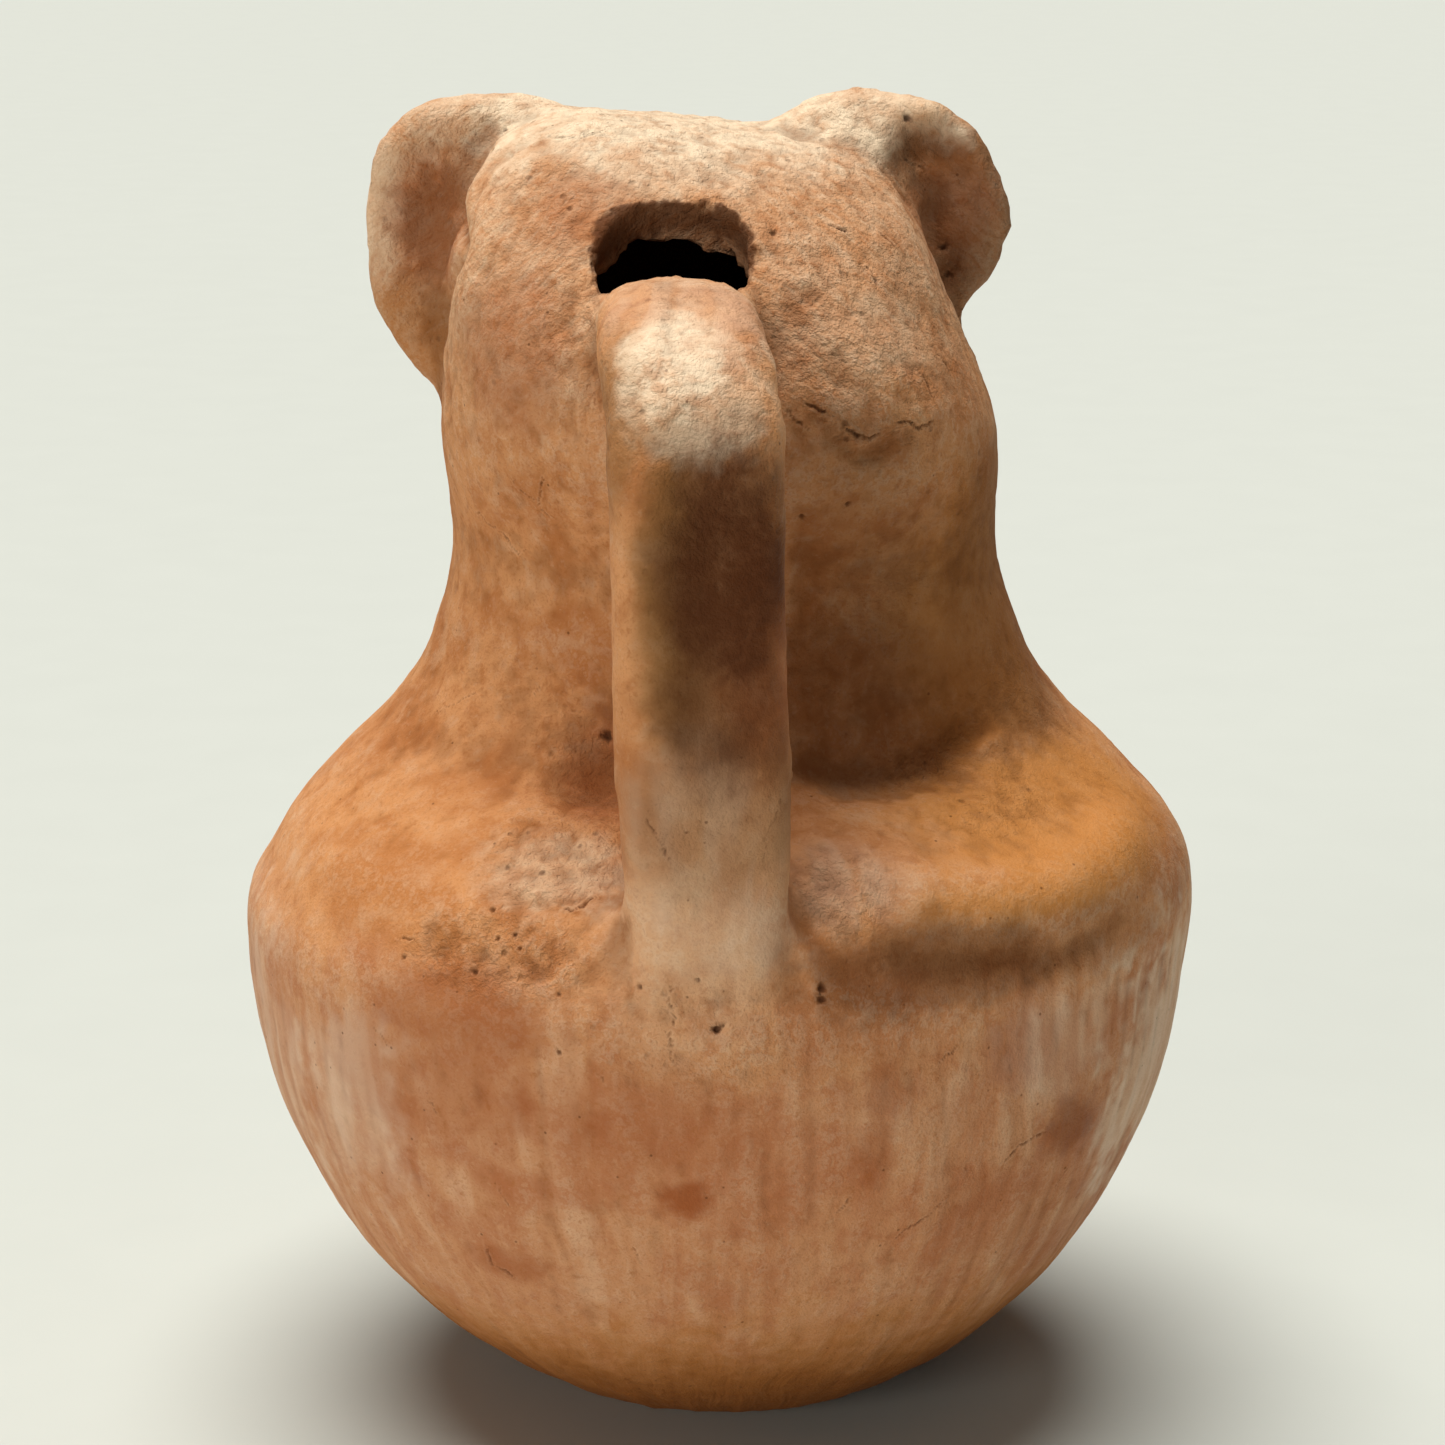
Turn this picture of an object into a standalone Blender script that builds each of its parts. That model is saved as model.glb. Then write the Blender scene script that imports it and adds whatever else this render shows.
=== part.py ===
"""A hollow fired-clay effigy jar: a round bowl whose wide neck rises into an eared animal head.

The jar fills and pours through a hole in the back of the head, and a strap handle runs from the
hole's lower lip down to the shoulder. It was built by hand as one piece of clay, so it is one solid.

Metres, +Z up. The origin is the centre of the flat foot, -Y is the handle's side and +Y the face's.
"""

import math
from collections import namedtuple

import bmesh
import bpy
from mathutils import Matrix, Vector
from mathutils.geometry import interpolate_bezier

# Clay thickness
WALL = 0.0062
FLOOR_THICKNESS = 0.0085

# Bowl, from the flat foot up to the belly, where it is widest
FOOT_RADIUS = 0.0293
BOWL_LEAN_HEIGHT = 0.0550
BOWL_LEAN = -0.0012
BELLY_HEIGHT = 0.0954
BELLY_HALF_WIDTH = 0.0906
BELLY_HALF_DEPTH = 0.0884
BELLY_LEAN = -0.0007
BOWL_FULLNESS = 2.04

# Shoulder, its slope and the neck
SHOULDER_HEIGHT = 0.1110
SHOULDER_HALF_WIDTH = 0.0853
SHOULDER_HALF_DEPTH = 0.0825
SLOPE_HEIGHT = 0.1260
SLOPE_HALF_WIDTH = 0.0734
SLOPE_HALF_DEPTH = 0.0645
COLLAR_HEIGHT = 0.1350
COLLAR_HALF_WIDTH = 0.0643
COLLAR_HALF_DEPTH = 0.0508
THROAT_HEIGHT = 0.1480
THROAT_HALF_WIDTH = 0.0562
THROAT_HALF_DEPTH = 0.0466
NECK_HEIGHT = 0.1670
NECK_HALF_WIDTH = 0.0514
NECK_BACK = 0.0460
NECK_FRONT = 0.0456

# Head, from the nape, where it is widest, to the crown
NAPE_HEIGHT = 0.1890
NAPE_HALF_WIDTH = 0.0525
NAPE_BACK = 0.0540
NAPE_FRONT = 0.0500
CROWN_HEIGHT = 0.2450
CROWN_SIDE_FULLNESS = 4.2
CROWN_BACK_FULLNESS = 1.9
CROWN_FRONT_FULLNESS = 2.8
CROWN_TAPER = 0.17
CROWN_TILT = 0.11
HEAD_CORNER = 2.3
SHOULDER_LEAN = 0.0014
NECK_LEAN = 0.0004
NAPE_LEAN = -0.0012
HEAD_LEAN = -0.0062

# Ears: wide lobes on the two top corners of the head, dished behind, which rise over the crown
LEFT_EAR_REACH = 0.0664
LEFT_EAR_RISE = 0.0034
LEFT_EAR_HALF_WIDTH = 0.0235
LEFT_EAR_HALF_HEIGHT = 0.0280
LEFT_EAR_FULLNESS = 3.1
LEFT_EAR_TAPER = 0.50
LEFT_EAR_DROP = 1.15
RIGHT_EAR_REACH = 0.0535
RIGHT_EAR_RISE = 0.0052
RIGHT_EAR_HALF_WIDTH = 0.0270
RIGHT_EAR_HALF_HEIGHT = 0.0242
RIGHT_EAR_FULLNESS = 2.1
RIGHT_EAR_TAPER = 0.0
RIGHT_EAR_DROP = 1.0
EAR_THICKNESS = 0.0165
EAR_SET_FORWARD = 0.0060
EAR_DISH_DEPTH = 0.0018

# Pouring hole in the sloping back of the head, its middle dropped below the crown
MOUTH_WIDTH = 0.0272
MOUTH_DEPTH = 0.0208
MOUTH_DROP = 0.0193
MOUTH_SLANT = 0.30
MOUTH_TILT = math.radians(30)
MOUTH_FULLNESS = 3.0
MOUTH_LEAN = -0.0088
PILOT_SHARE = 0.60

# Strap handle. It bends just above the nape and its root sinks in below the belly's level.
HANDLE_WIDTH = 0.0298
HANDLE_THICKNESS = 0.0175
HANDLE_LIP_WIDTH = 0.0270
HANDLE_FULLNESS = 2.6
HANDLE_TURN = math.radians(12)
FINGER_GAP = 0.0300
HANDLE_ARCH = 0.0040
HANDLE_RISE = 0.0032
HANDLE_BEND_LIFT = 0.0025
HANDLE_ROOT_DROP = 0.0134
HANDLE_ROOT_WIDTH = 0.0460
HANDLE_ROOT_THICKNESS = 0.0080
HANDLE_TOP_LEAN = -0.0080
HANDLE_BEND_LEAN = -0.0042
HANDLE_ROOT_LEAN = -0.0018

# Face on the front of the head, with the eyes below the crown and the muzzle above the nape's level.
# The spreads are those of soft swellings, as for the hand marks below.
EYE_SPACING = 0.0350
EYE_DROP = 0.0240
EYE_SPREAD = 0.0046
EYE_RISE = 0.0048
MUZZLE_LIFT = 0.0105
MUZZLE_SPREAD = 0.0130
MUZZLE_UPRIGHT_SPREAD = 0.0110
MUZZLE_RISE = 0.0118

# How finely the clay is meshed
SEGMENTS = 96
BOWL_RINGS = 20
MIDDLE_RINGS = 40
CROWN_RINGS = 20
VOXEL = 0.0020
SMOOTH_PASSES = 8
TRIANGLES = 9200
CLAY_COLOUR = (0.47, 0.24, 0.12, 1.0)

Swell = namedtuple("Swell", "azimuth height across upright rise")

# Swellings and hollows left by the potter's hands. Azimuth is in degrees from the handle's side,
# positive towards +X. The two spreads and the rise are in metres.
SWELLS = (
    Swell(azimuth=-1, height=SHOULDER_HEIGHT - 0.0060, across=0.021, upright=0.017, rise=0.0050),
    Swell(azimuth=54, height=SHOULDER_HEIGHT - 0.0025, across=0.027, upright=0.007, rise=0.0032),
    Swell(azimuth=44, height=SLOPE_HEIGHT - 0.0050, across=0.018, upright=0.006, rise=0.0016),
    Swell(azimuth=-46, height=SHOULDER_HEIGHT + 0.0020, across=0.032, upright=0.011, rise=0.0018),
    Swell(azimuth=34, height=BELLY_HEIGHT - 0.0004, across=0.026, upright=0.008, rise=-0.0014),
    Swell(azimuth=34, height=COLLAR_HEIGHT + 0.0010, across=0.020, upright=0.008, rise=-0.0030),
    Swell(azimuth=-25, height=COLLAR_HEIGHT + 0.0010, across=0.013, upright=0.009, rise=-0.0030),
    Swell(azimuth=34, height=NAPE_HEIGHT + 0.0090, across=0.020, upright=0.008, rise=0.0016),
    Swell(azimuth=-80, height=NAPE_HEIGHT + 0.0190, across=0.016, upright=0.014, rise=-0.0022),
)


def smooth_through(heights, values, height):
    """The value at a height on a curve through the points that never overshoots them."""
    steps = [b - a for a, b in zip(heights, heights[1:])]
    slopes = [(b - a) / step for a, b, step in zip(values, values[1:], steps)]
    tangents = [0.0]
    for before, after in zip(slopes, slopes[1:]):
        turns = before * after <= 0
        tangents.append(0.0 if turns else 2 * before * after / (before + after))
    tangents.append(0.0)
    i = max(k for k in range(len(steps)) if k == 0 or heights[k] <= height)
    t = min(max((height - heights[i]) / steps[i], 0.0), 1.0)
    first = (1 + 2 * t) * (1 - t) ** 2 * values[i] + t * (1 - t) ** 2 * steps[i] * tangents[i]
    second = t * t * (3 - 2 * t) * values[i + 1] - t * t * (1 - t) * steps[i] * tangents[i + 1]
    return first + second


def closing(share, fullness):
    """How wide a dome still is, as a share, at this share of its height."""
    return max(0.0, 1 - min(share, 1.0) ** fullness) ** (1 / fullness)


def bowl_depth():
    """How far below the belly the bowl would close, if its foot weren't cut flat."""
    return BELLY_HEIGHT / closing(FOOT_RADIUS / BELLY_HALF_WIDTH, BOWL_FULLNESS)


def eye_height():
    """The height of the eyes, where the head leans out the furthest."""
    return CROWN_HEIGHT - EYE_DROP


def lean_at(height):
    """How far the middle of the jar is to the side of the foot's middle at a height."""
    eyes = eye_height()
    levels = (0.0, BOWL_LEAN_HEIGHT, BELLY_HEIGHT, SHOULDER_HEIGHT, NECK_HEIGHT, NAPE_HEIGHT, eyes)
    leans = (0.0, BOWL_LEAN, BELLY_LEAN, SHOULDER_LEAN, NECK_LEAN, NAPE_LEAN, HEAD_LEAN)
    return smooth_through(levels, leans, min(max(height, 0.0), eyes))


def section_at(height):
    """Half width, back and front depth, sideways lean and corner fullness of the jar at a height."""
    if height <= BELLY_HEIGHT:
        share = closing((BELLY_HEIGHT - height) / bowl_depth(), BOWL_FULLNESS)
        depth = BELLY_HALF_DEPTH * share
        return BELLY_HALF_WIDTH * share, depth, depth, lean_at(height), 2.0
    levels = (
        BELLY_HEIGHT, SHOULDER_HEIGHT, SLOPE_HEIGHT, COLLAR_HEIGHT,
        THROAT_HEIGHT, NECK_HEIGHT, NAPE_HEIGHT,
    )
    half_widths = (
        BELLY_HALF_WIDTH, SHOULDER_HALF_WIDTH, SLOPE_HALF_WIDTH, COLLAR_HALF_WIDTH,
        THROAT_HALF_WIDTH, NECK_HALF_WIDTH, NAPE_HALF_WIDTH,
    )
    depths = (
        BELLY_HALF_DEPTH, SHOULDER_HALF_DEPTH, SLOPE_HALF_DEPTH, COLLAR_HALF_DEPTH, THROAT_HALF_DEPTH,
    )
    up = min(height, NAPE_HEIGHT)
    half_width = smooth_through(levels, half_widths, up)
    back = smooth_through(levels, depths + (NECK_BACK, NAPE_BACK), up)
    front = smooth_through(levels, depths + (NECK_FRONT, NAPE_FRONT), up)
    lean = lean_at(height)
    corner = smooth_through((NECK_HEIGHT, eye_height()), (2.0, HEAD_CORNER), height)
    if height > NAPE_HEIGHT:
        share = (height - NAPE_HEIGHT) / (CROWN_HEIGHT - NAPE_HEIGHT)
        half_width *= closing(share, CROWN_SIDE_FULLNESS) * (1 - CROWN_TAPER * share)
        back *= closing(share, CROWN_BACK_FULLNESS)
        front *= closing(share, CROWN_FRONT_FULLNESS)
    return half_width, back, front, lean, corner


def rounded(value, fullness):
    """The coordinate of an ellipse's point, moved out to a superellipse of this fullness."""
    return math.copysign(abs(value) ** (2 / fullness), value)


def skin_point(azimuth, height):
    """The point of the outer skin at an azimuth, in radians from the handle's side, and a height."""
    half_width, back, front, lean, corner = section_at(height)
    x, y = math.sin(azimuth), -math.cos(azimuth)
    across = half_width * rounded(x, corner)
    depth = (front if y > 0 else back) * rounded(y, corner)
    share = max(0.0, (height - NAPE_HEIGHT) / (CROWN_HEIGHT - NAPE_HEIGHT))
    return Vector((lean + across, depth, height - CROWN_TILT * across * share))


def loft(rings, first_tip, last_tip):
    """A closed mesh skinned over rings of points, with a fan from a tip at each end."""
    mesh = bmesh.new()
    rows = [[mesh.verts.new(point) for point in ring] for ring in rings]
    count = len(rows[0])
    for low, high in zip(rows, rows[1:]):
        for k in range(count):
            after = (k + 1) % count
            mesh.faces.new((low[k], low[after], high[after], high[k]))
    for tip, row in ((first_tip, rows[0]), (last_tip, rows[-1])):
        point = mesh.verts.new(tip)
        for k in range(count):
            mesh.faces.new((point, row[k], row[(k + 1) % count]))
    bmesh.ops.recalc_face_normals(mesh, faces=mesh.faces)
    return mesh


def object_from(mesh, name, collection):
    """A new object that takes this bmesh."""
    data = bpy.data.meshes.new(name)
    mesh.to_mesh(data)
    mesh.free()
    made = bpy.data.objects.new(name, data)
    collection.objects.link(made)
    return made


def face_swells():
    """Two round eyes and a blunt muzzle, as swellings of the front of the head."""
    height = eye_height()
    aside = math.degrees(math.asin(EYE_SPACING / 2 / section_at(height)[0]))
    eyes = [Swell(180 + side * aside, height, EYE_SPREAD, EYE_SPREAD, EYE_RISE) for side in (-1, 1)]
    muzzle_height = NAPE_HEIGHT + MUZZLE_LIFT
    return eyes + [Swell(180, muzzle_height, MUZZLE_SPREAD, MUZZLE_UPRIGHT_SPREAD, MUZZLE_RISE)]


def swell_rise(point, swells):
    """How far the swellings move a point of the skin out."""
    total = 0.0
    for swell in swells:
        away = point - skin_point(math.radians(swell.azimuth), swell.height)
        level = (away.x ** 2 + away.y ** 2) / swell.across ** 2
        total += swell.rise * math.exp(-(level + away.z ** 2 / swell.upright ** 2) / 2)
    return total


def skin_mesh():
    """The outer skin of bowl, neck and head, closed at the bottom and at the crown."""
    depth = bowl_depth()
    quarter = [math.pi / 2 * i / BOWL_RINGS for i in range(1, BOWL_RINGS)]
    heights = [BELLY_HEIGHT - depth * math.cos(a) for a in quarter]
    middle = NAPE_HEIGHT - BELLY_HEIGHT
    heights += [BELLY_HEIGHT + middle * i / MIDDLE_RINGS for i in range(MIDDLE_RINGS)]
    quarter = [math.pi / 2 * i / CROWN_RINGS for i in range(CROWN_RINGS)]
    heights += [NAPE_HEIGHT + (CROWN_HEIGHT - NAPE_HEIGHT) * math.sin(a) for a in quarter]
    turns = [2 * math.pi * k / SEGMENTS for k in range(SEGMENTS)]
    rings = [[skin_point(turn, height) for turn in turns] for height in heights]
    mesh = loft(rings, Vector((0, 0, BELLY_HEIGHT - depth)), Vector((HEAD_LEAN, 0, CROWN_HEIGHT)))
    mesh.normal_update()
    swells = list(SWELLS) + face_swells()
    moves = [(vertex, vertex.normal * swell_rise(vertex.co, swells)) for vertex in mesh.verts]
    for vertex, move in moves:
        vertex.co += move
    mesh.normal_update()
    return mesh


def cavity(collection):
    """The room inside: the outer skin moved in by the wall, over a flat floor."""
    mesh = skin_mesh()
    for vertex in mesh.verts:
        vertex.co -= vertex.normal * WALL
    for vertex in mesh.verts:
        vertex.co.z = max(vertex.co.z, FLOOR_THICKNESS)
    return object_from(mesh, "cavity", collection)


def pebble(name, centre, half_sizes, fullness, collection, taper=0.0, drop=1.0):
    """A closed rounded form, nearer to a box as its fullness grows, whose lower half can narrow and hang."""
    mesh = bmesh.new()
    bmesh.ops.create_uvsphere(mesh, u_segments=32, v_segments=20, radius=1.0)
    for vertex in mesh.verts:
        narrowed = 1 - taper * max(-vertex.co.z, 0.0) ** 1.25
        vertex.co = [rounded(c, fullness) * half for c, half in zip(vertex.co, half_sizes)]
        vertex.co.x *= narrowed
        vertex.co.z *= drop if vertex.co.z < 0 else 1.0
    made = object_from(mesh, name, collection)
    made.location = centre
    return made


def ear(side, centre, half_sizes, fullness, taper, drop, collection, dishes):
    """One ear, a thick lobe on the corner of the head, and the wide dish in the back of it."""
    lobe = pebble("ear_" + side, centre, half_sizes, fullness, collection, taper, drop)
    half_width, half_thick, half_height = half_sizes
    bulge = 3 * half_thick
    back = Vector((0, EAR_DISH_DEPTH - half_thick - bulge, half_height * 0.05))
    dish_sizes = (half_width * 1.3, bulge, half_height * 1.3)
    dish = pebble("dish_" + side, centre + back, dish_sizes, 2.0, dishes)
    add_boolean(lobe, dish, "DIFFERENCE")


def ears(collection, dishes):
    """Both ears. Each one's reach is how far out it comes from the middle of the jar."""
    half_thick = EAR_THICKNESS / 2
    left_sizes = (LEFT_EAR_HALF_WIDTH, half_thick, LEFT_EAR_HALF_HEIGHT)
    left_x = LEFT_EAR_HALF_WIDTH - LEFT_EAR_REACH
    left = Vector((left_x, EAR_SET_FORWARD, CROWN_HEIGHT + LEFT_EAR_RISE - LEFT_EAR_HALF_HEIGHT))
    ear("left", left, left_sizes, LEFT_EAR_FULLNESS, LEFT_EAR_TAPER, LEFT_EAR_DROP, collection, dishes)
    right_sizes = (RIGHT_EAR_HALF_WIDTH, half_thick, RIGHT_EAR_HALF_HEIGHT)
    right_x = RIGHT_EAR_REACH - RIGHT_EAR_HALF_WIDTH
    right = Vector((right_x, EAR_SET_FORWARD, CROWN_HEIGHT + RIGHT_EAR_RISE - RIGHT_EAR_HALF_HEIGHT))
    ear(
        "right", right, right_sizes, RIGHT_EAR_FULLNESS, RIGHT_EAR_TAPER, RIGHT_EAR_DROP, collection, dishes,
    )


def mouth_lip_height():
    """The height of the mouth's lower lip."""
    return CROWN_HEIGHT - MOUTH_DROP - MOUTH_DEPTH / 2 * math.sin(MOUTH_TILT) - MOUTH_DEPTH * 0.12


def handle_route():
    """Centre points of the handle, from inside the lip of the mouth to inside the shoulder."""
    lip_height = mouth_lip_height() + HANDLE_RISE - HANDLE_THICKNESS / 2
    bend_height = NAPE_HEIGHT + HANDLE_BEND_LIFT
    root_height = BELLY_HEIGHT - HANDLE_ROOT_DROP
    reach = NECK_BACK + FINGER_GAP + HANDLE_THICKNESS / 2
    lip = Vector((HANDLE_TOP_LEAN, WALL - section_at(lip_height)[1], lip_height))
    bend = Vector((HANDLE_BEND_LEAN, -reach, bend_height))
    root_depth = section_at(root_height)[1] - HANDLE_ROOT_THICKNESS / 2 - WALL / 8
    root = Vector((HANDLE_ROOT_LEAN, -root_depth, root_height))
    out = lip + Vector((0, -(reach - NECK_BACK) * 0.62, HANDLE_ARCH))
    over = bend + Vector((0, 0, (lip_height - bend_height) * 0.85))
    drop = (bend_height - root_height) / 3
    down = bend - Vector((0, 0, 1.2 * drop))
    into = root + Vector((0, root_depth - reach, drop))
    upper = interpolate_bezier(lip, out, over, bend, 20)
    lower = interpolate_bezier(bend, down, into, root, 24)
    return upper + lower[1:]


def handle(collection):
    """The strap handle, turned a little on itself halfway down and spread thin into the shoulder."""
    route = handle_route()
    lengths = [0.0]
    for before, after in zip(route, route[1:]):
        lengths.append(lengths[-1] + (after - before).length)
    shares = (0.0, 0.15, 0.35, 0.60, 0.80, 1.0)
    wide = HANDLE_WIDTH
    widths = (HANDLE_LIP_WIDTH, wide * 0.95, wide, wide, wide * 0.93, HANDLE_ROOT_WIDTH)
    thick = HANDLE_THICKNESS
    thicknesses = (thick, thick, thick, thick, thick, HANDLE_ROOT_THICKNESS)
    turns = [2 * math.pi * k / 40 for k in range(40)]
    rings = []
    for i, centre in enumerate(route):
        along = (route[min(i + 1, len(route) - 1)] - route[max(i - 1, 0)]).normalized()
        share = lengths[i] / lengths[-1]
        turn = Matrix.Rotation(-HANDLE_TURN * math.sin(math.pi * share) ** 2, 3, along)
        sideways = turn @ Vector((1, 0, 0))
        outward = sideways.cross(along).normalized()
        half_width = smooth_through(shares, widths, share) / 2
        half_thick = smooth_through(shares, thicknesses, share) / 2
        rings.append([
            centre + sideways * half_width * rounded(math.cos(a), HANDLE_FULLNESS)
            + outward * half_thick * rounded(math.sin(a), HANDLE_FULLNESS)
            for a in turns
        ])
    object_from(loft(rings, route[0], route[-1]), "handle", collection)


def mouth_cutter(name, share, collection):
    """A prism of the mouth's outline at a share of its size, steep through the back of the head."""
    curve = bpy.data.curves.new("mouth_outline", "CURVE")
    curve.dimensions = "2D"
    curve.fill_mode = "BOTH"
    curve.extrude = 3.2 * WALL
    turns = [2 * math.pi * k / 48 for k in range(48)]
    spline = curve.splines.new("POLY")
    spline.points.add(len(turns) - 1)
    for point, turn in zip(spline.points, turns):
        up = rounded(math.sin(turn), MOUTH_FULLNESS)
        x = MOUTH_WIDTH / 2 * rounded(math.cos(turn), MOUTH_FULLNESS)
        if x < 0:
            x *= 1 - MOUTH_SLANT * max(up, 0.0)
        point.co = (x * share, MOUTH_DEPTH / 2 * up * share, 0, 1)
    spline.use_cyclic_u = True
    outline = bpy.data.objects.new("mouth_outline", curve)
    collection.objects.link(outline)
    height = CROWN_HEIGHT - MOUTH_DROP
    place = Matrix.Translation((MOUTH_LEAN, -section_at(height)[1], height))
    outline.matrix_world = place @ Matrix.Rotation(MOUTH_TILT, 4, "X")
    return as_mesh(outline, name, collection)


def as_mesh(curve_object, name, collection):
    """The curve object's shape as a mesh object with its caps welded, in the curve's place."""
    bpy.context.view_layer.update()
    graph = bpy.context.evaluated_depsgraph_get()
    data = bpy.data.meshes.new_from_object(curve_object.evaluated_get(graph))
    mesh = bmesh.new()
    mesh.from_mesh(data)
    bmesh.ops.remove_doubles(mesh, verts=mesh.verts, dist=0.00001)
    bmesh.ops.recalc_face_normals(mesh, faces=mesh.faces)
    made = object_from(mesh, name, collection)
    made.matrix_world = curve_object.matrix_world
    bpy.data.objects.remove(curve_object)
    return made


def ground_cutter(collection):
    """A block under the foot, which cuts it flat at the ground."""
    mesh = bmesh.new()
    bmesh.ops.create_cube(mesh, size=2 * BELLY_HALF_WIDTH)
    made = object_from(mesh, "ground", collection)
    made.location.z = -BELLY_HALF_WIDTH
    return made


def add_boolean(target, other, operation):
    """A Boolean of another mesh on the target."""
    modifier = target.modifiers.new(other.name, "BOOLEAN")
    modifier.operation = operation
    modifier.object = other
    modifier.solver = "EXACT"


def triangle_count(target):
    """How many triangles the target has as its modifiers stand."""
    bpy.context.view_layer.update()
    graph = bpy.context.evaluated_depsgraph_get()
    evaluated = target.evaluated_get(graph)
    mesh = evaluated.to_mesh()
    mesh.calc_loop_triangles()
    count = len(mesh.loop_triangles)
    evaluated.to_mesh_clear()
    return count


def fuse_clay(target):
    """Melts the joined forms into one skin with soft joints."""
    remesh = target.modifiers.new("fuse", "REMESH")
    remesh.mode = "VOXEL"
    remesh.voxel_size = VOXEL
    smooth = target.modifiers.new("smooth", "SMOOTH")
    smooth.factor = 0.5
    smooth.iterations = SMOOTH_PASSES


def lighten(target):
    """Thins the skin out to the wanted number of triangles."""
    ratio = min(1.0, TRIANGLES / triangle_count(target))
    decimate = target.modifiers.new("lighten", "DECIMATE")
    decimate.ratio = ratio


def clay_material():
    """Unglazed orange-brown clay."""
    material = bpy.data.materials.new("fired_clay")
    material.use_nodes = True
    shader = material.node_tree.nodes["Principled BSDF"]
    shader.inputs["Base Color"].default_value = CLAY_COLOUR
    shader.inputs["Roughness"].default_value = 0.75
    shader.inputs["Metallic"].default_value = 0.0
    material.diffuse_color = CLAY_COLOUR
    return material


def new_collection(name, shown):
    """A collection in the scene. One that isn't shown holds helpers, which aren't rendered."""
    collection = bpy.data.collections.new(name)
    bpy.context.scene.collection.children.link(collection)
    collection.hide_render = not shown
    return collection


def main():
    for obj in list(bpy.data.objects):
        bpy.data.objects.remove(obj)
    shown = new_collection("effigy_jar", True)
    raised = new_collection("raised_forms", False)
    dishes = new_collection("ear_dishes", False)
    cutters = new_collection("cutters", False)
    last_cuts = new_collection("last_cutters", False)

    jar = object_from(skin_mesh(), "effigy_jar", shown)
    ears(raised, dishes)
    handle(raised)
    for form in raised.objects:
        add_boolean(jar, form, "UNION")
    cavity(cutters)
    mouth_cutter("pilot", PILOT_SHARE, cutters)
    for cutter in cutters.objects:
        add_boolean(jar, cutter, "DIFFERENCE")
    fuse_clay(jar)
    add_boolean(jar, mouth_cutter("mouth", 1.0, last_cuts), "DIFFERENCE")
    add_boolean(jar, ground_cutter(last_cuts), "DIFFERENCE")
    lighten(jar)
    for collection in (raised, dishes, cutters, last_cuts):
        for helper in collection.objects:
            helper.hide_render = True
            helper.display_type = "WIRE"
    jar.data.materials.append(clay_material())


main()
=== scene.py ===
"""Dresses the effigy jar in its hand-worked clay and sets the floor, the light and the camera.

Metres, +Z up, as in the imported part: the handle and the pouring hole are on the -Y side, the face on
the +Y side, and the flat foot rests on z = 0.
"""

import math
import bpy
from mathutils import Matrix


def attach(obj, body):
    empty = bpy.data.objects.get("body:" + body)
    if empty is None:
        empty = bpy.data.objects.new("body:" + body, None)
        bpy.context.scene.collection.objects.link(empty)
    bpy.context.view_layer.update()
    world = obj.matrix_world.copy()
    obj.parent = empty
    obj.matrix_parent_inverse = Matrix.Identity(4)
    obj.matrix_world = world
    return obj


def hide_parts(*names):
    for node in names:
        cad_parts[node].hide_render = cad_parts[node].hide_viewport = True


bl_info = {
    "name": "Effigy jar clay",
    "version": (1, 0, 0),
    "blender": (4, 5, 0),
    "location": "3D View > Sidebar > Effigy jar",
    "description": "Hand-worked clay skin, marks, colours and stage for the effigy jar",
    "category": "Object",
}

import bmesh
import bpy
import numpy as np
from bpy.props import FloatProperty, FloatVectorProperty, PointerProperty
from bpy.types import NodeSocket, Operator, Panel, PropertyGroup
from mathutils import Matrix, Vector, kdtree, noise
from mathutils.bvhtree import BVHTree

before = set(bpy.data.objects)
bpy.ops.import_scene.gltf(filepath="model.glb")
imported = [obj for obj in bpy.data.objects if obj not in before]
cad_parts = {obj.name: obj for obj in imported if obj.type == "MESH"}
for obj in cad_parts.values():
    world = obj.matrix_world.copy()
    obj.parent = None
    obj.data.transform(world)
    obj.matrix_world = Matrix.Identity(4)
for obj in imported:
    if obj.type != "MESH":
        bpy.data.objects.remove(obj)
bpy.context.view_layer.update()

MM = 0.001
SINE_OF_45 = 0.707

# Pouring hole: a prism with rounded corners, steep through the back of the head. The shares of its
# edge say how far out the rim, the cut wall and the band that stays sharp reach.
HOLE_CENTRE = Vector((-8.8, -39.5, 225.7)) * MM
HOLE_TILT = math.radians(30)
HOLE_TURN = Matrix.Rotation(HOLE_TILT, 3, "X")
HOLE_OUT = HOLE_TURN @ Vector((0, 0, 1))
HOLE_HALF_WIDTH = 13.6 * MM
HOLE_HALF_DEPTH = 10.4 * MM
HOLE_CORNER = 3
HOLE_WALL_BELOW = 17 * MM
HOLE_WALL_ABOVE = 9 * MM
RIM_SHARE = 1.03
CUT_SHARE = 1.05
SHARP_SHARE = 1.10

# The deep cut at the hole's upper edge, where the painted shade of the inner wall starts and is full,
# how far down the rim's band of painted shade reaches, and the part of the edge that tore
LIP_THICKENING = 5.5 * MM
LIP_START = 7 * MM
LIT_DEPTH = 12 * MM
THROAT_DEPTH = 24 * MM
FRINGE_DEPTH = 5 * MM
TORN_SHARE = 0.22
TORN_BELOW = 14 * MM
TORN_ABOVE = 10 * MM

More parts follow.
